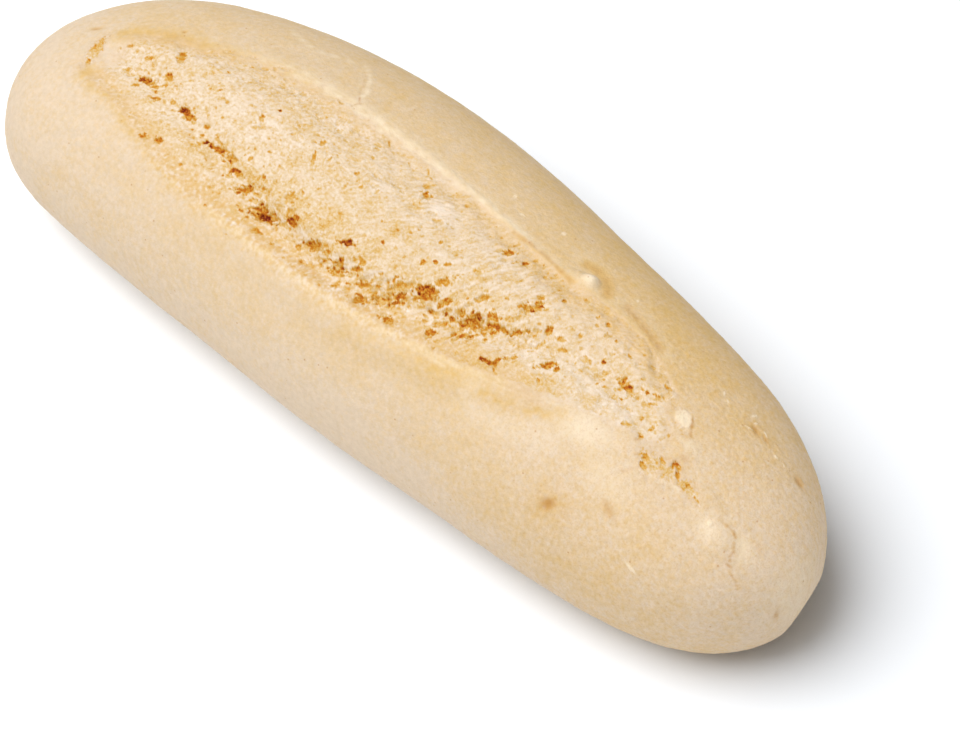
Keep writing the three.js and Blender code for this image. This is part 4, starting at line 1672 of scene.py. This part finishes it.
@dataclass(frozen=True)
class CrumbFinish:
    """Torn wheat crumb: walls of thin, moist gluten, cream at their edges and brown in the hollows, where
    the brown is partly painted shade.
    """

    stops: tuple[tuple[float, str], ...] = (
        (0.0, "#E1D4C7"),
        (0.2, "#D1BDA2"),
        (0.38, "#C6A364"),
        (0.55, "#BD8722"),
        (0.75, "#AA5906"),
        (1.0, "#6C1B00"),
    )
    golden: str = "#CBA568"
    golden_strength: float = 0.45
    golden_until: tuple[float, float] = (0.25, 0.6)
    web: Grain = Grain(0.6, 4.0, 0.75)  # the finest bubble walls are about 0.1 mm, which would not show
    web_strength: float = 0.8
    web_where_pale: float = 0.4
    web_by_shade: float = 2.0

    def colour(self, canvas: Canvas) -> bpy.types.NodeSocket:
        """Mix the crumb's colour: its shade made uneven by the walls, with gold where it is pale.

        Args:
            canvas: the node tree and its inputs.

        Returns:
            The colour's socket.
        """
        tree, shade = canvas.tree, canvas.layers[Layer.SHADE]
        web = add_node(tree, "ShaderNodeTexNoise", inputs=self.web.inputs(canvas))
        grain = add_node(
            tree,
            "ShaderNodeMath",
            {"operation": "MULTIPLY_ADD"},
            {0: web.outputs["Fac"], 1: self.web_strength, 2: -self.web_strength / 2},
        )
        contrast = add_node(
            tree,
            "ShaderNodeMath",
            {"operation": "MULTIPLY_ADD"},
            {0: shade, 1: self.web_by_shade, 2: self.web_where_pale},
        )
        tone = add_node(
            tree,
            "ShaderNodeMath",
            {"operation": "MULTIPLY_ADD"},
            {0: grain.outputs[0], 1: contrast.outputs[0], 2: shade},
        )
        ramp = add_node(
            tree,
            "ShaderNodeValToRGB",
            {"stops": [(place, srgb(code)) for place, code in self.stops]},
            {"Fac": tone.outputs[0]},
        )
        palest, darkest = self.golden_until
        plain = add_node(
            tree,
            "ShaderNodeMapRange",
            {"clamp": True},
            {
                "Value": shade,
                "From Min": palest,
                "From Max": darkest,
                "To Min": self.golden_strength,
                "To Max": 0.0,
            },
        )
        tint = add_node(
            tree,
            "ShaderNodeMath",
            {"operation": "MULTIPLY"},
            {0: canvas.layers[Layer.GOLD], 1: plain.outputs[0]},
        )
        golden = add_node(
            tree,
            "ShaderNodeMix",
            {"data_type": "RGBA"},
            {FACTOR: tint.outputs[0], UNDER: ramp.outputs["Color"], OVER: srgb(self.golden)},
        )
        return golden.outputs[MIXED]


@dataclass(frozen=True)
class Bread:
    """Part-baked wheat bread: a dull crust that blends into glowing, uneven crumb."""

    crust: CrustFinish = field(default_factory=CrustFinish)
    crumb: CrumbFinish = field(default_factory=CrumbFinish)
    roughness: float = 0.75
    ior: float = 1.45
    specular: float = 0.25
    scatter: float = 0.06
    scatter_mm: float = 1.0
    scatter_reach: tuple[float, float, float] = (1.0, 0.55, 0.28)
    bump: Grain = Grain(0.8, 4.0, 0.7)
    bump_mm: float = 0.25
    bump_strength: float = 0.7

    def material(self) -> bpy.types.Material:
        """Make the material from the skin's layers and from noise at real sizes."""
        material = bpy.data.materials.new("part_baked_wheat_bread")
        canvas = Canvas.on(material)
        tree = canvas.tree
        colour = add_node(
            tree,
            "ShaderNodeMix",
            {"data_type": "RGBA"},
            {
                FACTOR: canvas.layers[Layer.CRUMB],
                UNDER: self.crust.colour(canvas),
                OVER: self.crumb.colour(canvas),
            },
        )
        grain = add_node(tree, "ShaderNodeTexNoise", inputs=self.bump.inputs(canvas))
        bump = add_node(
            tree,
            "ShaderNodeBump",
            inputs={
                "Strength": self.bump_strength,
                "Distance": self.bump_mm * MM,
                "Height": grain.outputs["Fac"],
            },
        )
        shader = add_node(
            tree,
            "ShaderNodeBsdfPrincipled",
            inputs={
                "Base Color": colour.outputs[MIXED],
                "Roughness": self.roughness,
                "IOR": self.ior,
                "Specular IOR Level": self.specular,
                "Subsurface Weight": self.scatter,
                "Subsurface Radius": self.scatter_reach,
                "Subsurface Scale": self.scatter_mm * MM,
                "Normal": bump.outputs["Normal"],
            },
        )
        add_node(tree, "ShaderNodeOutputMaterial", inputs={"Surface": shader.outputs["BSDF"]})
        return material


@dataclass(frozen=True)
class BoardFinish:
    """White board, painted matt: no shine, so that it stays one even white round the loaf."""

    white: str = "#F4F7FB"
    roughness: float = 0.9
    specular: float = 0.0

    def material(self) -> bpy.types.Material:
        """Make the material."""
        material = bpy.data.materials.new("matt_white_board")
        material.use_nodes = True
        shader = material.node_tree.nodes["Principled BSDF"]
        shader.inputs["Base Color"].default_value = srgb(self.white)
        shader.inputs["Roughness"].default_value = self.roughness
        shader.inputs["Specular IOR Level"].default_value = self.specular
        return material



# ---------------------------------------------------------------- the loaf


@dataclass(frozen=True)
class Facet:
    """A flat that something pressed into the loaf, square to a direction out of the frame's middle."""

    out: tuple[float, float, float]
    reach: float
    rounding: float = 0.5

    def press(self, points: Array) -> Array:
        """Push in the points that stand past the flat.

        Args:
            points: points in millimetres in the frame.

        Returns:
            The same points, with those past the flat moved back to it.
        """
        way = np.array(self.out) / np.linalg.norm(self.out)
        past = np.maximum(points @ way - self.reach, 0)
        return points - (past**2 / (past + self.rounding))[..., None] * way


@dataclass
class Loaf:
    """The whole loaf, as one skin with its score, crumb and crust."""

    form: LoafForm = field(default_factory=LoafForm)
    layout: SkinLayout = field(default_factory=SkinLayout)
    score: Score = field(default_factory=Score)
    crumb: Crumb = field(default_factory=Crumb)
    crust: Crust = field(default_factory=Crust)
    finish: Bread = field(default_factory=Bread)
    tray_reach: float = 6.0  # how high above the tray the base still lies smooth
    tip_flat: Facet = Facet((0.913, 0.248, -0.325), 85.9, 0.05)

    def build(self) -> bpy.types.Object:
        """Build the loaf, dress it and put it in the frame.

        Returns:
            The loaf's object.
        """
        skin = Skin.laid_out(self.form, self.layout)
        relief = Relief.flat(skin.a.shape)
        lines = self.score.press(skin, relief)
        self.crumb.work(skin, relief, lines, self.score)
        self.crust.bake(skin, relief, lines)
        mesh = self.skin_mesh(skin, relief)
        loaf = bpy.data.objects.new("baguette_loaf", mesh)
        bpy.context.scene.collection.objects.link(loaf)
        mesh.materials.append(self.finish.material())
        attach(loaf, "root")
        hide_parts(NODE)
        return loaf

    def skin_mesh(self, skin: Skin, relief: Relief) -> bpy.types.Mesh:
        """Raise the skin by its relief and close it with a point at each tip.

        Args:
            skin: the grid of points.
            relief: the heights, and the layers that go with the mesh.

        Returns:
            The mesh, in metres, in the middle of the frame's footprint.
        """
        lifted = relief.height * smoothstep(skin.points[..., 2], 0, self.tray_reach)
        points = skin.points + skin.normals * lifted[..., None]
        points[..., 2] = np.maximum(points[..., 2], 0)
        rings, round_count = skin.a.shape
        tips = self.form.points(np.array([-1.0, 1.0]), np.zeros(2))
        flat = np.concatenate([tips, points.reshape(-1, 3)])
        middle = (flat.min(axis=0) + flat.max(axis=0)) / 2
        target = (NODE_LOW + NODE_HIGH) / (2 * MM)
        flat[:, :2] += np.array([target.x, target.y]) - middle[:2]
        flat = self.tip_flat.press(flat) * MM
        index = 2 + np.arange(rings * round_count).reshape(rings, round_count)
        after = np.roll(index, -1, axis=1)
        quads = np.stack([index[:-1], after[:-1], after[1:], index[1:]], axis=-1).reshape(-1, 4)
        first = np.stack([np.zeros(round_count, int), after[0], index[0]], axis=-1)
        last = np.stack([np.ones(round_count, int), index[-1], after[-1]], axis=-1)
        mesh = bpy.data.meshes.new("baguette_loaf")
        mesh.from_pydata(flat, [], [*quads.tolist(), *first.tolist(), *last.tolist()])
        mesh.shade_smooth()
        for layer, values in relief.layers.items():
            attribute = mesh.attributes.new(layer.value, "FLOAT", "POINT")
            ends = [values[0].mean(), values[-1].mean()]
            attribute.data.foreach_set("value", np.concatenate([ends, values.ravel()]).astype(np.float32))
        return mesh


# ---------------------------------------------------------------- the studio


@dataclass(frozen=True)
class Softbox:
    """A round soft light, aimed at the middle of the loaf."""

    name: str
    azimuth_deg: float
    elevation_deg: float
    distance: float
    size: float
    power: float

    def hang(self, only: bpy.types.Object | None = None) -> None:
        """Hang the light.

        Args:
            only: the one object that it falls on, or nothing where it falls on everything.
        """
        data = bpy.data.lights.new(self.name, "AREA")
        data.shape, data.size, data.energy = "DISK", self.size, self.power
        light = bpy.data.objects.new(self.name, data)
        bpy.context.scene.collection.objects.link(light)
        way = direction(self.azimuth_deg, self.elevation_deg)
        light.location = way * self.distance
        light.rotation_euler = way.to_track_quat("Z", "Y").to_euler()
        if only:
            lit = bpy.data.collections.new(f"lit_by_{self.name}")
            lit.objects.link(only)
            light.light_linking.receiver_collection = lit


def direction(azimuth_deg: float, elevation_deg: float) -> Vector:
    """Turn an azimuth from +X towards +Y and an elevation into a direction."""
    a, e = math.radians(azimuth_deg), math.radians(elevation_deg)
    return Vector((math.cos(a) * math.cos(e), math.sin(a) * math.cos(e), math.sin(e)))


@dataclass(frozen=True)
class Studio:
    """A white floor with a light of its own, a large key light, softer fills for the loaf, and a camera."""

    azimuth_deg: float = -46.6
    elevation_deg: float = 54.0
    distance: float = 0.95
    sensor_mm: float = 36.0
    view_width_mm: float = 188.544  # how wide a strip across the point aimed at is in view
    aim_mm: tuple[float, float, float] = (15.7, -2.1, 11.0)
    floor_size: float = 6.0
    board: BoardFinish = BoardFinish()
    sky_strength: float = 0.2
    key: Softbox = Softbox("key", 218, 59, 2.2, 2.4, 58)
    background: Softbox = Softbox("background", 224, 60, 2.2, 3.5, 27)
    fills: tuple[Softbox, ...] = (
        Softbox("far_fill", 74, 60, 1.5, 1.0, 7.0),
        Softbox("end_fill", 335, 30, 1.5, 1.0, 7.0),
        Softbox("near_fill", 265, 8, 1.5, 1.0, 1.3),
        Softbox("tip_fill", 0, 12, 1.5, 0.6, 0.7),
    )

    def build(self, loaf: bpy.types.Object) -> None:
        """Build the floor, the lights and the camera.

        Args:
            loaf: the only object that the fill lights fall on.
        """
        floor = self.build_floor()
        self.key.hang()
        self.background.hang(floor)
        for fill in self.fills:
            fill.hang(loaf)
        self.build_sky()
        self.build_camera()
        bpy.context.scene.view_settings.view_transform = "Standard"

    def build_floor(self) -> bpy.types.Object:
        """Lay the floor, a sheet of matt white board.

        Returns:
            The floor's object.
        """
        half = self.floor_size / 2
        corners = [(-half, -half, 0), (half, -half, 0), (half, half, 0), (-half, half, 0)]
        mesh = bpy.data.meshes.new("floor")
        mesh.from_pydata(corners, [], [(0, 1, 2, 3)])
        floor = bpy.data.objects.new("floor", mesh)
        bpy.context.scene.collection.objects.link(floor)
        mesh.materials.append(self.board.material())
        return floor

    def build_sky(self) -> None:
        """Light the room evenly from all round."""
        world = bpy.data.worlds.new("studio")
        bpy.context.scene.world = world
        world.use_nodes = True
        sky = world.node_tree.nodes["Background"]
        sky.inputs["Color"].default_value = (1, 1, 1, 1)
        sky.inputs["Strength"].default_value = self.sky_strength

    def build_camera(self) -> None:
        """Set up the camera, looking down along the loaf from its narrow end."""
        back = direction(self.azimuth_deg, self.elevation_deg)
        data = bpy.data.cameras.new("camera")
        data.sensor_width = self.sensor_mm
        data.lens = self.sensor_mm * self.distance / (self.view_width_mm * MM)
        camera = bpy.data.objects.new("camera", data)
        bpy.context.scene.collection.objects.link(camera)
        camera.location = Vector(self.aim_mm) * MM + back * self.distance
        camera.rotation_euler = back.to_track_quat("Z", "Y").to_euler()
        bpy.context.scene.camera = camera


def main() -> None:
    """Build the loaf and the studio round it, and report each piece.
    """
    logging.basicConfig(level=logging.INFO, format="%(name)s: %(message)s")
    loaf = Loaf().build()
    LOG.info("%s: %d points", loaf.name, len(loaf.data.vertices))
    Studio().build(loaf)
    LOG.info("studio ready")


if __name__ == "__main__":
    main()
